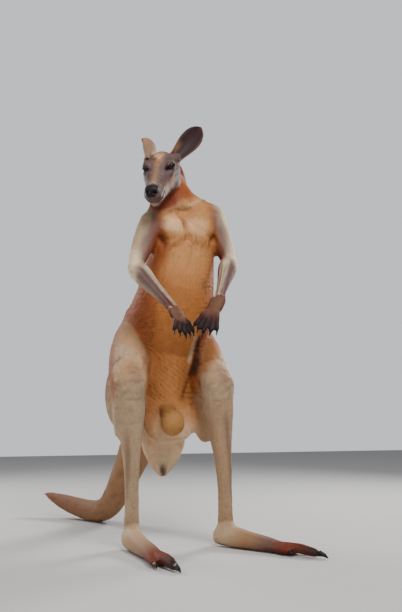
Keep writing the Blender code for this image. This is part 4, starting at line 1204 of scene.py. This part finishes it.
# the lines and patches of the face, alike on both sides, each laid over those above it: its colour and how
# bright that is, its radius, its soft edge and its strength, and its path in the head, outward, along the
# snout and up
FACE_MARKS = {
    "crown": ("tan", 0.85, 0.008, 0.024, 0.65, (0.0, 0.045, 0.06), (0.0, 0.135, 0.048)),
    "pale whorl": ("tan", 1.5, 0.005, 0.014, 0.85, (0.006, 0.092, 0.056), (0.0, 0.112, 0.052)),
    "bridge of the nose": ("tan", 0.80, 0.006, 0.015, 0.70, (0.0, 0.150, 0.038), (0.0, 0.225, 0.010)),
    "edge behind the nose": ("cream", 0.75, 0.002, 0.008, 0.40, (0.0, 0.236, 0.006), (0.014, 0.240, 0.003)),
}
FRECKLES = ((-0.012, 0.118), (-0.024, 0.130), (0.012, 0.138), (0.004, 0.088))
CHEEK_MARKS = {
    "over the eye": ("mauve", 0.45, 0.006, 0.016, 0.60, (0.040, 0.112, 0.050), (0.056, 0.098, 0.044)),
    "before the eye": ("mauve", 0.50, 0.006, 0.016, 0.50, (0.030, 0.178, 0.004), (0.034, 0.215, -0.014)),
    "cheek": ("tan", 0.9, 0.008, 0.018, 0.60, (0.062, 0.150, -0.030), (0.050, 0.190, -0.040),
              (0.046, 0.205, -0.052)),
    "jaw": ("mauve", 0.75, 0.014, 0.026, 0.55, (0.060, 0.110, -0.060), (0.046, 0.165, -0.080)),
    "over the upper lip": ("mauve", 0.8, 0.005, 0.012, 0.40, (0.020, 0.268, -0.034), (0.034, 0.236, -0.026)),
    "lower lip": ("cream", 0.9, 0.0014, 0.005, 0.70, (0.020, 0.274, -0.072), (0.037, 0.256, -0.063),
                  (0.042, 0.238, -0.049)),
    "front of the chin": ("cream", 0.7, 0.004, 0.010, 0.55, (0.0, 0.276, -0.078), (0.016, 0.268, -0.080)),
    # the face's grey under the chin, below its cream front, is painted shade
    "under the chin": ("grey", 1.0, 0.010, 0.014, 0.60, (0.0, 0.250, -0.098), (0.026, 0.225, -0.094)),
}


def paint_face(paint):
    """The colour of the neck and the head, with a painted highlight along the left side of the neck and
    painted shade under the jaw and chin, round the eyes and in the nostrils; gives back how much of each
    vertex is nose pad.
    """
    grey, tan, brown, black, rust = tones_of("grey tan brown black rust")
    cream, throat, mauve = tones_of("cream throat mauve")
    points, normals, head = paint.points, paint.normals, paint.masks["head"]
    left, ahead, above = to_head(points)
    wide = np.abs(left)
    both = np.stack([wide, ahead, above], axis=1)

    def line(tone, path, radius, soft, amount):
        paint.lay(tone, head * amount * near(both, path, radius, soft))

    def lines(marks):
        for name, bright, radius, soft, amount, *path in marks.values():
            line(colour(name) * bright, path, radius, soft, amount)

    paint.lay(rust * 0.95, paint.masks["neck"])
    # cream along the left side of the neck, only where it faces left: a painted highlight
    neck_rim_highlight = [from_head(0.074, 0.040, -0.030), JOINT["neck_top"] + (0.075, 0.0, -0.02),
                 JOINT["neck_base"] + (0.085, 0.0, 0.01)]
    paint.spot(cream, neck_rim_highlight, 0.004, 0.020, 0.38 * fade(normals[:, 0], 0.1, 0.7))
    # dark rust under the jaw: painted shade
    paint.spot(throat, [from_head(0.0, 0.14, -0.115), from_head(0.0, 0.05, -0.12)], 0.040, 0.055, 0.95)
    paint.lay(grey, head * fade(ahead, -0.02, 0.05))
    paint.lay(mauve * 0.60, 0.82 * head * fade(wide, 0.030, 0.058) * (1 - fade(ahead, 0.20, 0.26)))
    lines(FACE_MARKS)
    for across, along in FRECKLES:
        paint.spot(throat * 0.55, from_head(across, along, 0.050), 0.0040, 0.010, 0.75 * head)
    lines(CHEEK_MARKS)
    for across in (0.072, -0.072):
        paint.spot(brown * 0.8, from_head(across, 0.100, -0.026), 0.004, 0.010, 0.80 * head)
    line(black * 1.5, MOUTH, 0.0014, 0.0036, 0.90)
    # dark rust under the head's midline: painted shade under the jaw
    line(throat, [(0.0, 0.10, -0.10), (0.0, 0.18, -0.095)], 0.020, 0.030, 0.6)
    dark_flecks = np.clip(ripple(points, 0.022, 61) - 0.35, 0, 1)
    tan_flecks = np.clip(ripple(points, 0.030, 62) - 0.35, 0, 1)
    paint.lay(mauve * 0.6, 0.35 * head * dark_flecks * (1 - fade(ahead, 0.20, 0.24)))
    paint.lay(tan, 0.45 * head * tan_flecks * fade(ahead, 0.02, 0.08))
    for side in SIDES:
        middle, gaze, forward, upward = eye_axes(side)
        surface = middle + gaze * EYE_RADIUS * 0.7
        corners = [surface + forward * 0.030 - upward * 0.004, surface + forward * 0.012,
                   surface - forward * 0.020]
        # darker mauve round the eye, most above it: painted shade in its socket under the brow
        paint.spot(mauve * 0.7, [surface + upward * 0.006, surface], 0.018, 0.016, 0.65 * head)
        paint.spot(black * 1.3, corners, 0.0050, 0.0060, 0.95 * head)
        paint.spot(black, [surface], EYE_RADIUS * 0.80, 0.0050, head)
    pad, hole = nose_shape(points)
    paint.lay(black, pad)
    # darker still in the nostrils: painted shade in the holes
    paint.lay(black * 0.3, hole)
    return pad


def unwrap(piece, name):
    """An unwrap of the piece's own shape, kept under this name."""
    make_active(piece)
    layer = piece.data.uv_layers.new(name=name)
    piece.data.uv_layers.active = layer
    bpy.ops.object.mode_set(mode="EDIT")
    bpy.ops.mesh.select_all(action="SELECT")
    bpy.ops.uv.smart_project(angle_limit=1.15, island_margin=0.002)
    bpy.ops.object.mode_set(mode="OBJECT")


def thin_skin(skin):
    """Blends the solids into one skin, thins it where it is plain, and halves its facets at lips and eyes."""
    modify(skin, "REMESH", mode="VOXEL", voxel_size=sizes().grain)
    modify(skin, "SMOOTH", factor=0.5, iterations=3)
    places = read_places(skin.data)
    digits = sum(near(places, joints_of(side, "wrist", "fingers"), 0.048, 0.02) for side in SIDES)
    toes = sum(near(places, joints_of(side, "toe"), 0.10, 0.04) for side in SIDES)
    group_vertices(skin, "broad", 1 - np.clip(digits + 0.7 * toes, 0, 1))
    modify(skin, "SMOOTH", factor=0.5, iterations=22, vertex_group="broad")
    head = near(read_places(skin.data), [from_head(0, 0.03, 0), from_head(0, 0.28, -0.04)], 0.075, 0.02)
    group_vertices(skin, "plain", np.clip(1 - digits - head, 0, 1))
    kept = sizes().triangles / (2 * len(skin.data.polygons))
    modify(skin, "DECIMATE", ratio=kept, vertex_group="plain")
    middles = fetch(skin.data.polygons, "center", 3).astype(float)
    fine = near(middles, [from_head(0, 0.24, -0.035), from_head(0, 0.28, -0.04)], 0.048, 0.004) > 0.5
    for sign in SIDES.values():
        fine |= near(middles, [from_head(sign * 0.058, 0.128, 0.016)], 0.028, 0.004) > 0.5
    refine(skin, fine, 2)


def sculpt_skin(mesh, edges, masks):
    """Smooths the joints, sinks the skin under its coat, and moves the relief into it."""
    write_places(mesh, smooth_joints(read_places(mesh), edges, masks))
    points, normals = read_places(mesh), read_normals(mesh)
    fine = np.clip(masks["head"] + masks["hand"] + masks["foot"], 0, 1)
    depth = sizes().coat_depth + (sizes().face_depth - sizes().coat_depth) * fine
    move = sculpt_head(points) + sculpt_body(points, normals, masks)
    pad, hole = nose_shape(points)
    move += NOSE_RISE * pad - NOSTRIL_DEPTH * hole - depth * (1 - pad)
    points = open_eyes(points + normals * move[:, None])
    points[:, 2] = np.maximum(points[:, 2], FLOOR_GAP)
    write_places(mesh, points)
    return points, read_normals(mesh)


def tuft_lengths(points, masks, folded):
    """How long the hair is at each vertex: shortest on the muzzle, hands and feet, short in the folds."""
    short = np.clip(masks["head"] * fade(to_head(points)[1], 0.06, 0.24), 0, 1)
    length = sizes().tuft + (sizes().face_tuft - sizes().tuft) * short
    length *= 1 - 0.45 * masks["head"] * (1 - short)
    length *= 1 - 0.60 * np.clip(masks["hand"] + masks["foot"], 0, 1)
    length *= 1 - 0.25 * np.clip(masks["forearm"] + masks["upper_arm"] + masks["scrotum"], 0, 1)
    return length * (1 - 0.30 * np.clip(folded, 0, 1))


class KANGAROO_OT_skin(Operator):
    """One skin over all the flesh, with its folds, sinews and markings, painted highlights and shade among
    them
    """

    bl_idname = "kangaroo.skin"
    bl_label = "Skin"

    def execute(self, context):
        skin = joined_flesh()
        thin_skin(skin)
        mesh = skin.data
        edges = read_edges(mesh)
        names, found = owners(read_places(mesh))
        masks = skin_masks(edges, names, found)
        points, normals = sculpt_skin(mesh, edges, masks)
        paint = Paint(points, normals, masks)
        paint_body(paint)
        pad = paint_face(paint)
        # the markings hold the coat's colours together with its painted highlights and painted shade
        set_colours(mesh, "markings", spread(paint.tones, edges, 1))
        set_lie(mesh, lie_of_coat(points, normals, masks))
        folded = folds_reach(points, normals, masks)
        set_values(mesh, "tuft_length", tuft_lengths(points, masks, folded))
        set_values(mesh, "folds", folded)
        set_values(mesh, "haired", np.clip(1 - pad * 1.5, 0, 1))
        part = np.array([names[i] for i in found])
        set_values(mesh, "part", region_numbers(part, points).astype(float))
        unwrap(skin, "skin_unwrap")
        mesh.materials.append(mottled_material("haired skin", 0.62, 0.22, 420.0, 0.5, Specular_IOR_Level=0.3))
        make_active(skin)
        bpy.ops.object.shade_smooth()
        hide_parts(*flesh_names())
        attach(skin, "root")
        return {"FINISHED"}


# ---------------------------------------------------------------- coat

REGIONS = ("head", "neck", "chest", "belly", "back", "arm_left", "arm_right", "thigh_left", "thigh_right",
           "shank_left", "shank_right", "tail")


def region_numbers(part, points):
    """The coat piece that each vertex's tufts belong to, as its number in REGIONS."""
    region = np.full(len(part), REGIONS.index("back"))
    region[(part == "trunk") & (points[:, 1] < JOINT["waist"][1])] = REGIONS.index("belly")
    region[(part == "trunk") & (points[:, 2] > JOINT["waist"][2] + 0.04)] = REGIONS.index("chest")
    region[part == "scrotum"] = REGIONS.index("belly")
    for name in ("head", "neck"):
        region[part == name] = REGIONS.index(name)
    region[np.char.startswith(part, "tail")] = REGIONS.index("tail")
    for side in SIDES:
        for name in ("upper_arm_", "forearm_", "hand_"):
            region[part == name + side] = REGIONS.index("arm_" + side)
        region[part == "thigh_" + side] = REGIONS.index("thigh_" + side)
        for name in ("shank_", "foot_"):
            region[part == name + side] = REGIONS.index("shank_" + side)
    return region


def read_values(mesh, name):
    """The number kept for each vertex under this name."""
    return fetch(mesh.attributes[name].data, "value", 1)[:, 0].astype(float)


def read_colours(mesh, name):
    """The colour kept for each vertex under this name."""
    return fetch(mesh.attributes[name].data, "color", 4)[:, :3].astype(float)


def scatter_roots(mesh, density, rng):
    """Roots strewn over a mesh: the three vertices round each, their shares, and its place on the unwrap."""
    mesh.calc_loop_triangles()
    triangles = mesh.loop_triangles
    corners, loops = (fetch(triangles, key, 3, np.int32) for key in ("vertices", "loops"))
    areas = fetch(triangles, "area", 1)[:, 0]
    expected = areas * density[corners].mean(axis=1)
    tufts = np.floor(expected + rng.random(len(triangles))).astype(int)
    chosen = np.repeat(np.arange(len(triangles)), tufts)
    shares = rng.random((len(chosen), 2))
    flip = shares.sum(axis=1) > 1
    shares[flip] = 1 - shares[flip]
    shares = np.column_stack([1 - shares.sum(axis=1), shares])
    uv = fetch(mesh.uv_layers.active.data, "uv", 2)[loops[chosen]]
    return corners[chosen], shares, np.einsum("nk,nkd->nd", shares, uv)


TUFT_SHADES = np.array([0.80, 0.80, 1.0, 1.14])  # how bright the roots, the middle and the tip are
TUFT_FACES = np.array([[1, 0, 2], [1, 2, 3], [2, 0, 3], [0, 1, 3]])
TUFT_PATCH = np.array([[-0.0015, -0.0015], [0.0015, -0.0015], [0.0, 0.0003], [0.0, 0.0015]])  # on the unwrap


def make_tufts(name, roots, normals, ways, lengths, widths, rise, colours, uv, rng):
    """One mesh of closed four-sided tufts: two root corners, a raised middle and a tip along the coat."""
    count = len(roots)
    across = np.cross(normals, ways)
    sink = roots - normals * 0.0005
    lengths, widths, rise = lengths[:, None], widths[:, None], rise[:, None]
    places = np.empty((count, 4, 3))
    places[:, 0] = sink - across * widths / 2
    places[:, 1] = sink + across * widths / 2
    places[:, 2] = sink + ways * lengths * 0.42 + normals * (rise * 0.95 + 0.0004)
    aside = rng.uniform(-0.4, 0.4, (count, 1))
    places[:, 3] = sink + ways * lengths + normals * rise + across * widths * aside
    shading = np.empty((count, 4, 3))
    shading[:, 0] = normals - 0.30 * across - 0.10 * ways
    shading[:, 1] = normals + 0.30 * across - 0.10 * ways
    shading[:, 2] = normals
    shading[:, 3] = normals + 0.35 * ways
    toned = colours[:, None, :] * TUFT_SHADES[None, :, None]
    mesh = bpy.data.meshes.new(name)
    corners = (np.arange(count)[:, None, None] * 4 + TUFT_FACES[None]).reshape(-1)
    mesh.vertices.add(count * 4)
    mesh.loops.add(count * 12)
    mesh.polygons.add(count * 4)
    mesh.vertices.foreach_set("co", places.astype(np.float32).ravel())
    mesh.loops.foreach_set("vertex_index", corners.astype(np.int32))
    mesh.polygons.foreach_set("loop_start", np.arange(0, count * 12, 3, dtype=np.int32))
    mesh.update(calc_edges=True)
    layer = mesh.uv_layers.new(name="OFBake")
    spots = (uv[:, None, :] + TUFT_PATCH[None]).reshape(-1, 2)
    layer.data.foreach_set("uv", spots[corners].astype(np.float32).ravel())
    set_colours(mesh, "markings", toned.reshape(-1, 3))
    mesh.normals_split_custom_set_from_vertices(unit(shading).reshape(-1, 3).tolist())
    return new_piece(name, mesh)


def turned(ways, normals, angles):
    """Each way turned round its normal by an angle."""
    across = np.cross(normals, ways)
    return ways * np.cos(angles)[:, None] + across * np.sin(angles)[:, None]


def grow_coat(piece, names, hair, seed):
    """Strews tufts over a dressed piece, and makes one coat mesh or more for each region named."""
    mesh = piece.data
    rng = np.random.default_rng(seed)
    points, normals = read_places(mesh), read_normals(mesh)
    colours = read_colours(mesh, "markings")
    lie = np.stack([read_values(mesh, "lie_" + label) for label in "xyz"], axis=1)
    length = read_values(mesh, "tuft_length")
    region = read_values(mesh, "part").round().astype(int)
    wider = 1.0
    spacing = sizes().spacing * np.clip(length / sizes().tuft, 0.42, 1.0) ** 0.6 * wider
    density = read_values(mesh, "haired") / spacing ** 2
    corners, shares, uv = scatter_roots(mesh, density, rng)

    def blend(values):
        return np.einsum("nk,nk...->n...", shares, values[corners])

    roots, up, tone = blend(points), unit(blend(normals)), blend(colours)
    tuft_length = blend(length) * rng.uniform(0.75, 1.25, len(roots))
    ways = along_skin(blend(lie), up)
    swirl = SWIRL * ripple(roots, 0.05, 31) + rng.normal(0, SWIRL, len(roots))
    ways = turned(ways, up, swirl)
    width = (0.0011 + 0.16 * tuft_length) * rng.uniform(0.8, 1.2, len(roots)) * wider
    rise = tuft_length * rng.uniform(0.035, 0.095, len(roots))
    tone = tone * (1 + 0.11 * rng.normal(size=(len(roots), 1)) + 0.05 * ripple(roots, 0.03, 41)[:, None])
    # tufts darker in the creases of the belly's folds are painted shade, and the slightly lighter tufts
    # between them painted light
    if "folds" in mesh.attributes:
        folds = blend(read_values(mesh, "folds"))
        creased = belly_folds(roots + ways * (0.5 * tuft_length)[:, None])
        tone = tone * (1 + folds * (0.12 - 0.68 * creased))[:, None]
    part = region[corners[:, 0]]
    for number, name in enumerate(names):
        mine = np.flatnonzero(part == number)
        batches = max(1, math.ceil(len(mine) / TUFTS_IN_PIECE))
        for batch in range(batches):
            take = mine[batch::batches]
            label = f"coat_{name}" if batches == 1 else f"coat_{name}_{batch + 1}"
            rows = (roots, up, ways, tuft_length, width, rise, np.clip(tone, 0.003, 1), uv)
            coat = make_tufts(label, *(row[take] for row in rows), rng)
            coat.data.materials.append(hair)
            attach(coat, "root")


class KANGAROO_OT_coat(Operator):
    """Short tufts over all of the skin and the ears, lying along the body"""

    bl_idname = "kangaroo.coat"
    bl_label = "Coat"

    def execute(self, context):
        hair = mottled_material("coat hair", 0.68, 0.16, 260.0, 0.0, Specular_IOR_Level=0.20,
                                Sheen_Weight=0.10, Sheen_Roughness=0.45)
        grow_coat(bpy.data.objects["skin"], REGIONS, hair, sizes().seed)
        for side in SIDES:
            grow_coat(bpy.data.objects["ear_hide_" + side], ("ear_" + side,), hair, sizes().seed + 1)
        return {"FINISHED"}


# ---------------------------------------------------------------- ears


# from an ear's root to its tip: how wide it is, as a share of the full width, and how many degrees it rolls
# round its hollow; the right ear is folded back into a tube
EAR_STATIONS = (0.0, 0.10, 0.20, 0.32, 0.45, 0.56, 0.66, 0.76, 0.86, 0.93, 0.97, 1.0)
EAR_WIDTHS = {"right": (0.20, 0.28, 0.42, 0.60, 0.78, 0.91, 0.99, 1.01, 0.98, 0.88, 0.72, 0.46),
              "left": (0.62, 0.64, 0.70, 0.82, 0.95, 1.02, 1.03, 0.98, 0.82, 0.60, 0.42, 0.16)}
EAR_ROLLS = {"right": (345, 330, 300, 270, 235, 210, 190, 175, 160, 150, 145, 140),
             "left": (250, 232, 210, 180, 150, 130, 115, 102, 88, 76, 68, 60)}
EAR_SUNK = {"right": 0.23, "left": 0.10}  # the share of an ear's length that is sunk in the head
EAR_ROUND = {"right": 0.18, "left": 0.030}  # how much the tip is rounded off


def ear_shape(side, across, along):
    """Places on the ear's cup for shares across it, from -1 to 1, and along it, from 0 to 1."""
    reach = unit(np.array(EAR_REACH[side]))
    hollow = np.array(EAR_HOLLOW[side])
    hollow = unit(hollow - hollow @ reach * reach)
    over = np.cross(reach, hollow)
    root = from_head(SIDES[side] * 0.062, 0.052, 0.036)
    fine = np.linspace(0, 1, 200)
    soft = np.ones(9) / 9

    def smooth(values):
        dense = np.interp(fine, EAR_STATIONS, values)
        padded = np.concatenate([np.full(4, dense[0]), dense, np.full(4, dense[-1])])
        return np.interp(along, fine, np.convolve(padded, soft, "valid"))

    width, arc = smooth(EAR_WIDTHS[side]), smooth(np.radians(EAR_ROLLS[side]))
    radius = width * sizes().ear_width / 2 / np.maximum(np.sin(np.minimum(arc, math.pi) / 2), 0.2)
    angle = arc * across / 2
    stem = along * (0.94 + EAR_SUNK[side]) - EAR_SUNK[side] - EAR_ROUND[side] * across ** 2 * along ** 3
    places = root + reach * (sizes().ear_length * stem)[:, None]
    places += over * (radius * np.sin(angle))[:, None]
    edge = np.cos(arc / 2) if side == "left" else np.maximum(np.cos(arc / 2), 0.0)
    places += hollow * (radius * (edge - np.cos(angle)) * 0.8)[:, None]
    places -= hollow * (0.012 * np.sin(math.pi * along))[:, None]
    if side == "right":  # its tip bends back, and it leans to the animal's right
        places += np.array((0.30, 0.93, -0.20)) * (0.012 * along ** 3)[:, None]
        places += np.array((-0.010, 0.0, 0.008)) * along[:, None]
    return places, hollow, reach


class KANGAROO_OT_ears(Operator):
    """Two thin cupped ears, dark and nearly bare inside, haired outside and along the rim"""

    bl_idname = "kangaroo.ears"
    bl_label = "Ears"

    def execute(self, context):
        hide = mottled_material("ear hide", 0.6, 0.20, 300.0, 0.35, Specular_IOR_Level=0.3, Sheen_Weight=0.2)
        for side in SIDES:
            deselect_all()
            bpy.ops.mesh.primitive_grid_add(x_subdivisions=28, y_subdivisions=44, size=2)
            ear = context.object
            ear.name = ear.data.name = "ear_hide_" + side
            flat = read_places(ear.data)
            across, along = flat[:, 0].copy(), (flat[:, 1] + 1) / 2
            places, hollow, reach = ear_shape(side, across, along)
            write_places(ear.data, places)
            face_outwards(ear)
            modify(ear, "SOLIDIFY", thickness=0.0030, offset=0.0, use_even_offset=False)
            modify(ear, "SMOOTH", factor=0.4, iterations=2)
            self.dress(ear, side, hollow, reach)
            ear.data.materials.append(hide)
            make_active(ear)
            bpy.ops.object.shade_smooth()
            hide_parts("ear_" + side)
            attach(ear, "root")
        return {"FINISHED"}

    def dress(self, ear, side, hollow, reach):
        """Colours, lie and length of the hair on an ear."""
        mesh = ear.data
        points, normals, edges = read_places(mesh), read_normals(mesh), read_edges(mesh)
        line = [ear_shape(side, np.array([0.0]), np.array([t]))[0][0] for t in np.linspace(0, 1, 12)]
        share = path_reach(points, line)[1]
        over = np.cross(reach, hollow)
        offset = (points - np.array(line[6])) @ over
        half_width = 0.5 * sizes().ear_width * np.interp(share, [0, 0.5, 0.8, 1], [0.5, 1, 0.9, 0.3])
        rim = fade(np.abs(offset) / half_width, 0.72, 1.0)
        inward = fade(spread(normals @ hollow, edges, 2), -0.05, 0.35)
        if side == "right":  # its folded root shows no inside
            inward = inward * fade(share, 0.40, 0.70)
        grey, tan, brown, inner = tones_of("grey tan brown ear_red")
        outer = (grey + (tan - grey) * by_side(side, 0.60, 0.30)) * by_side(side, 0.80, 1.0)
        front = fade(-offset * SIDES[side] / sizes().ear_width, 0.10, 0.34)
        front = front * (1 - fade(share, 0.25, 0.55)) * inward
        painted = laid(outer, inner, inward)
        painted = laid(painted, grey, 0.5 * inward * rim)
        painted = laid(painted, tan, 0.55 * rim * (1 - inward))
        painted = laid(painted, tan * 0.9, 0.7 * front)
        painted = laid(painted, brown, 0.45 * fade(share, 0.88, 1.0))
        set_colours(mesh, "markings", painted)
        set_lie(mesh, along_skin(reach + 0.35 * over * (offset / 0.04)[:, None], normals))
        set_values(mesh, "tuft_length", 0.0055 + 0.0050 * front)
        set_values(mesh, "haired", np.clip(1.0 - 0.80 * inward + 0.6 * front, 0, 1))
        set_values(mesh, "part", np.zeros(len(points)))
        unwrap(ear, "hide_unwrap")


# ---------------------------------------------------------------- eyes


# the rings of a lid, from its rim out: how much wider than the opening, and how far over the eyeball
LID_RINGS = ((1.0, 0.0002), (0.985, 0.0012), (1.01, 0.0021), (1.10, 0.0026), (1.24, 0.0024), (1.42, 0.0017),
             (1.62, 0.0002), (1.80, -0.0030))


def ring_ways(angles, turns, gaze, forward, upward):
    """The ways out of the eye at these angles off its axis and these turns round it."""
    return (gaze * np.cos(angles)[:, None] + forward * (np.sin(angles) * np.cos(turns))[:, None]
            + upward * (np.sin(angles) * np.sin(turns))[:, None])


class KANGAROO_OT_eyes(Operator):
    """Dark wet eyes with a raised cornea, each in its upper and lower lids"""

    bl_idname = "kangaroo.eyes"
    bl_label = "Eyes"

    def execute(self, context):
        wet = mottled_material("wet eye", 0.05, 0.35, 900.0, 0.0, IOR=1.36)
        lid_hide = mottled_material("lid hide", 0.5, 0.15, 700.0, 0.4, Specular_IOR_Level=0.35)
        for side in SIDES:
            self.eyeball(side, wet)
            self.lids(side, lid_hide)
        return {"FINISHED"}

    def eyeball(self, side, wet):
        """The ball with its raised cornea, brown iris and dark pupil."""
        middle, gaze, forward, upward = eye_axes(side)
        deselect_all()
        bpy.ops.mesh.primitive_uv_sphere_add(segments=40, ring_count=24, radius=EYE_RADIUS - 0.0004)
        ball = bpy.context.object
        ball.name = ball.data.name = "eyeball_" + side
        flat = read_places(ball.data)
        turned_to = flat[:, :1] * forward + flat[:, 1:2] * upward * -SIDES[side] + flat[:, 2:] * gaze
        angle = np.arccos(np.clip(unit(turned_to) @ gaze, -1, 1))
        write_places(ball.data, middle + turned_to * (1 + 0.05 * (1 - fade(angle, 0.15, 0.62)))[:, None])
        face_outwards(ball)
        wide = np.hypot((unit(turned_to) @ forward) * 0.62, unit(turned_to) @ upward)
        iris = fade(angle, 0.62, 0.74)
        painted = laid(colour("brown") * 0.35, colour("iris"), (1 - iris) * fade(wide, 0.14, 0.20))
        painted *= (1 - 0.92 * (1 - fade(wide, 0.15, 0.21)))[:, None]
        set_colours(ball.data, "markings", painted)
        ball.data.materials.append(wet)
        bpy.ops.object.shade_smooth()
        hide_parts("eye_" + side)
        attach(ball, "root")

    def lids(self, side, lid_hide):
        """A ring of lid from the eyeball's wet edge out under the skin, dark along its rim."""
        middle, gaze, forward, upward = eye_axes(side)
        turns = np.linspace(0, math.tau, 56, endpoint=False)
        opening = lid_opening(turns)
        rings = []
        for stretch, out in LID_RINGS:
            angles = np.minimum(opening * stretch, 1.75)
            rings.append(middle + ring_ways(angles, turns, gaze, forward, upward) * (EYE_RADIUS + out))
        lids = loft("lids_" + side, rings)
        points = read_places(lids.data)
        angle, turn = around_eye(points, side)[1:]
        rim = 1 - fade(angle / lid_opening(turn), 1.04, 1.22)
        set_colours(lids.data, "markings", laid(colour("grey") * 0.80, colour("black"), rim))
        lids.data.materials.append(lid_hide)
        normals = read_normals(lids.data)
        if np.mean(np.sum(normals * (points - middle), axis=1)) < 0:
            make_active(lids)
            bpy.ops.object.mode_set(mode="EDIT")
            bpy.ops.mesh.select_all(action="SELECT")
            bpy.ops.mesh.flip_normals()
            bpy.ops.object.mode_set(mode="OBJECT")
        make_active(lids)
        bpy.ops.object.shade_smooth()
        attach(lids, "root")


# ---------------------------------------------------------------- claws


class KANGAROO_OT_claws(Operator):
    """Dark horn for the claws of the hands and the feet"""

    bl_idname = "kangaroo.claws"
    bl_label = "Claws"

    def execute(self, context):
        horn, nodes, links, shader = new_material("claw horn", 0.42, Specular_IOR_Level=0.30)
        place = nodes.new("ShaderNodeTexCoord")
        streak = add_node(nodes, "ShaderNodeTexNoise", Scale=160.0, Detail=3.0)
        ramp = nodes.new("ShaderNodeValToRGB")
        for stop, position, tone in zip(ramp.color_ramp.elements, (0.30, 0.75), ((14, 11, 11), (40, 30, 27))):
            stop.position = position
            stop.color = (*tint(*tone), 1)
        raised = add_node(nodes, "ShaderNodeBump", Strength=0.25, Distance=0.001)
        wire(
            links,
            (place.outputs["Object"], streak.inputs["Vector"]),
            (streak.outputs["Fac"], ramp.inputs["Fac"]),
            (ramp.outputs["Color"], shader.inputs["Base Color"]),
            (streak.outputs["Fac"], raised.inputs["Height"]),
            (raised.outputs["Normal"], shader.inputs["Normal"]),
        )
        for name, node in NODES.items():
            if "claw" in name:
                node.data.materials.clear()
                node.data.materials.append(horn)
        return {"FINISHED"}


# ---------------------------------------------------------------- stage


# seen from the camera's side of the animal: where each light stands and points, its size and its power
LIGHTS = {
    "key light": ((0.9, -2.5, 3.2), (0, 0, 1.0), 1.1, 92.0),
    "fill light": ((-2.8, -2.2, 1.2), (0, 0, 0.7), 2.2, 22.0),
    "right rim light": ((2.2, 1.7, 2.3), (0, 0, 1.1), 1.0, 95.0),
    "left rim light": ((-2.4, 1.5, 2.0), (0, 0, 0.9), 1.2, 60.0),
}


class KANGAROO_OT_stage(Operator):
    """A plain pale floor, soft studio light and the camera"""

    bl_idname = "kangaroo.stage"
    bl_label = "Stage"

    def execute(self, context):
        stage = context.scene.kangaroo_stage
        deselect_all()
        bpy.ops.mesh.primitive_plane_add(size=stage.floor, location=(0, 0, 0))
        floor = context.object
        floor.name = "floor"
        pale_stone = (0.60, 0.585, 0.56, 1)
        made = new_material("plain floor", 0.85, Specular_IOR_Level=0.2, Base_Color=pale_stone)[0]
        floor.data.materials.append(made)
        world = bpy.data.worlds.new("studio")
        world.use_nodes = True
        nodes = world.node_tree.nodes
        soft = nodes["Background"]
        soft.inputs["Color"].default_value = (0.84, 0.87, 0.95, 1)
        soft.inputs["Strength"].default_value = 0.34
        backdrop = add_node(nodes, "ShaderNodeBackground", Color=(0.80, 0.82, 0.86, 1), Strength=0.95)
        seen = nodes.new("ShaderNodeLightPath")
        either = nodes.new("ShaderNodeMixShader")
        wire(
            world.node_tree.links,
            (seen.outputs["Is Camera Ray"], either.inputs[0]),
            (soft.outputs[0], either.inputs[1]),
            (backdrop.outputs[0], either.inputs[2]),
            (either.outputs[0], nodes["World Output"].inputs["Surface"]),
        )
        context.scene.world = world
        facing = Matrix.Rotation(-stage.camera_turn, 3, "Z")
        middle = Vector((0.0, 0.0, stage.camera_height))
        for name, (place, aim, size, power) in LIGHTS.items():
            place, aim = Vector(place), Vector(aim)
            bpy.ops.object.light_add(type="AREA", location=facing @ place)
            light = context.object
            light.name = name
            light.data.energy = power
            light.data.size = size
            light.rotation_euler = (facing @ (aim - place)).to_track_quat("-Z", "Y").to_euler()
        bpy.ops.object.camera_add()
        camera = context.object
        camera.name = "camera"
        camera.location = facing @ Vector((0.0, -stage.camera_distance, 0.0)) + middle
        camera.location += facing @ Vector((CAMERA_SHIFT, 0, 0))
        camera.rotation_euler = (math.pi / 2 + stage.camera_tilt, 0.0, -stage.camera_turn)
        camera.data.sensor_fit = "VERTICAL"
        camera.data.sensor_height = 36.0
        camera.data.lens = stage.lens
        context.scene.camera = camera
        return {"FINISHED"}


STEPS = (KANGAROO_OT_skin, KANGAROO_OT_ears, KANGAROO_OT_eyes, KANGAROO_OT_coat, KANGAROO_OT_claws,
         KANGAROO_OT_stage)


class KANGAROO_PT_panel(Panel):
    """The kangaroo's sizes, colours and steps"""

    bl_idname = "KANGAROO_PT_panel"
    bl_label = "Kangaroo"
    bl_space_type = "VIEW_3D"
    bl_region_type = "UI"
    bl_category = "Kangaroo"

    def draw(self, context):
        scene = context.scene
        for group in (scene.kangaroo_sizes, scene.kangaroo_colours, scene.kangaroo_stage):
            for name in group.bl_rna.properties.keys()[1:]:
                if name != "name":
                    self.layout.prop(group, name)
        for step in STEPS:
            self.layout.operator(step.bl_idname)


CLASSES = (KangarooSizes, KangarooColours, KangarooStage, KANGAROO_PT_panel) + STEPS


def register():
    for made in CLASSES:
        bpy.utils.register_class(made)
    bpy.types.Scene.kangaroo_sizes = PointerProperty(type=KangarooSizes)
    bpy.types.Scene.kangaroo_colours = PointerProperty(type=KangarooColours)
    bpy.types.Scene.kangaroo_stage = PointerProperty(type=KangarooStage)


def unregister():
    del bpy.types.Scene.kangaroo_stage
    del bpy.types.Scene.kangaroo_colours
    del bpy.types.Scene.kangaroo_sizes
    for made in reversed(CLASSES):
        bpy.utils.unregister_class(made)


def main():
    register()
    bpy.ops.kangaroo.skin()
    bpy.ops.kangaroo.ears()
    bpy.ops.kangaroo.eyes()
    bpy.ops.kangaroo.coat()
    bpy.ops.kangaroo.claws()
    bpy.ops.kangaroo.stage()


if __name__ == "__main__":
    main()
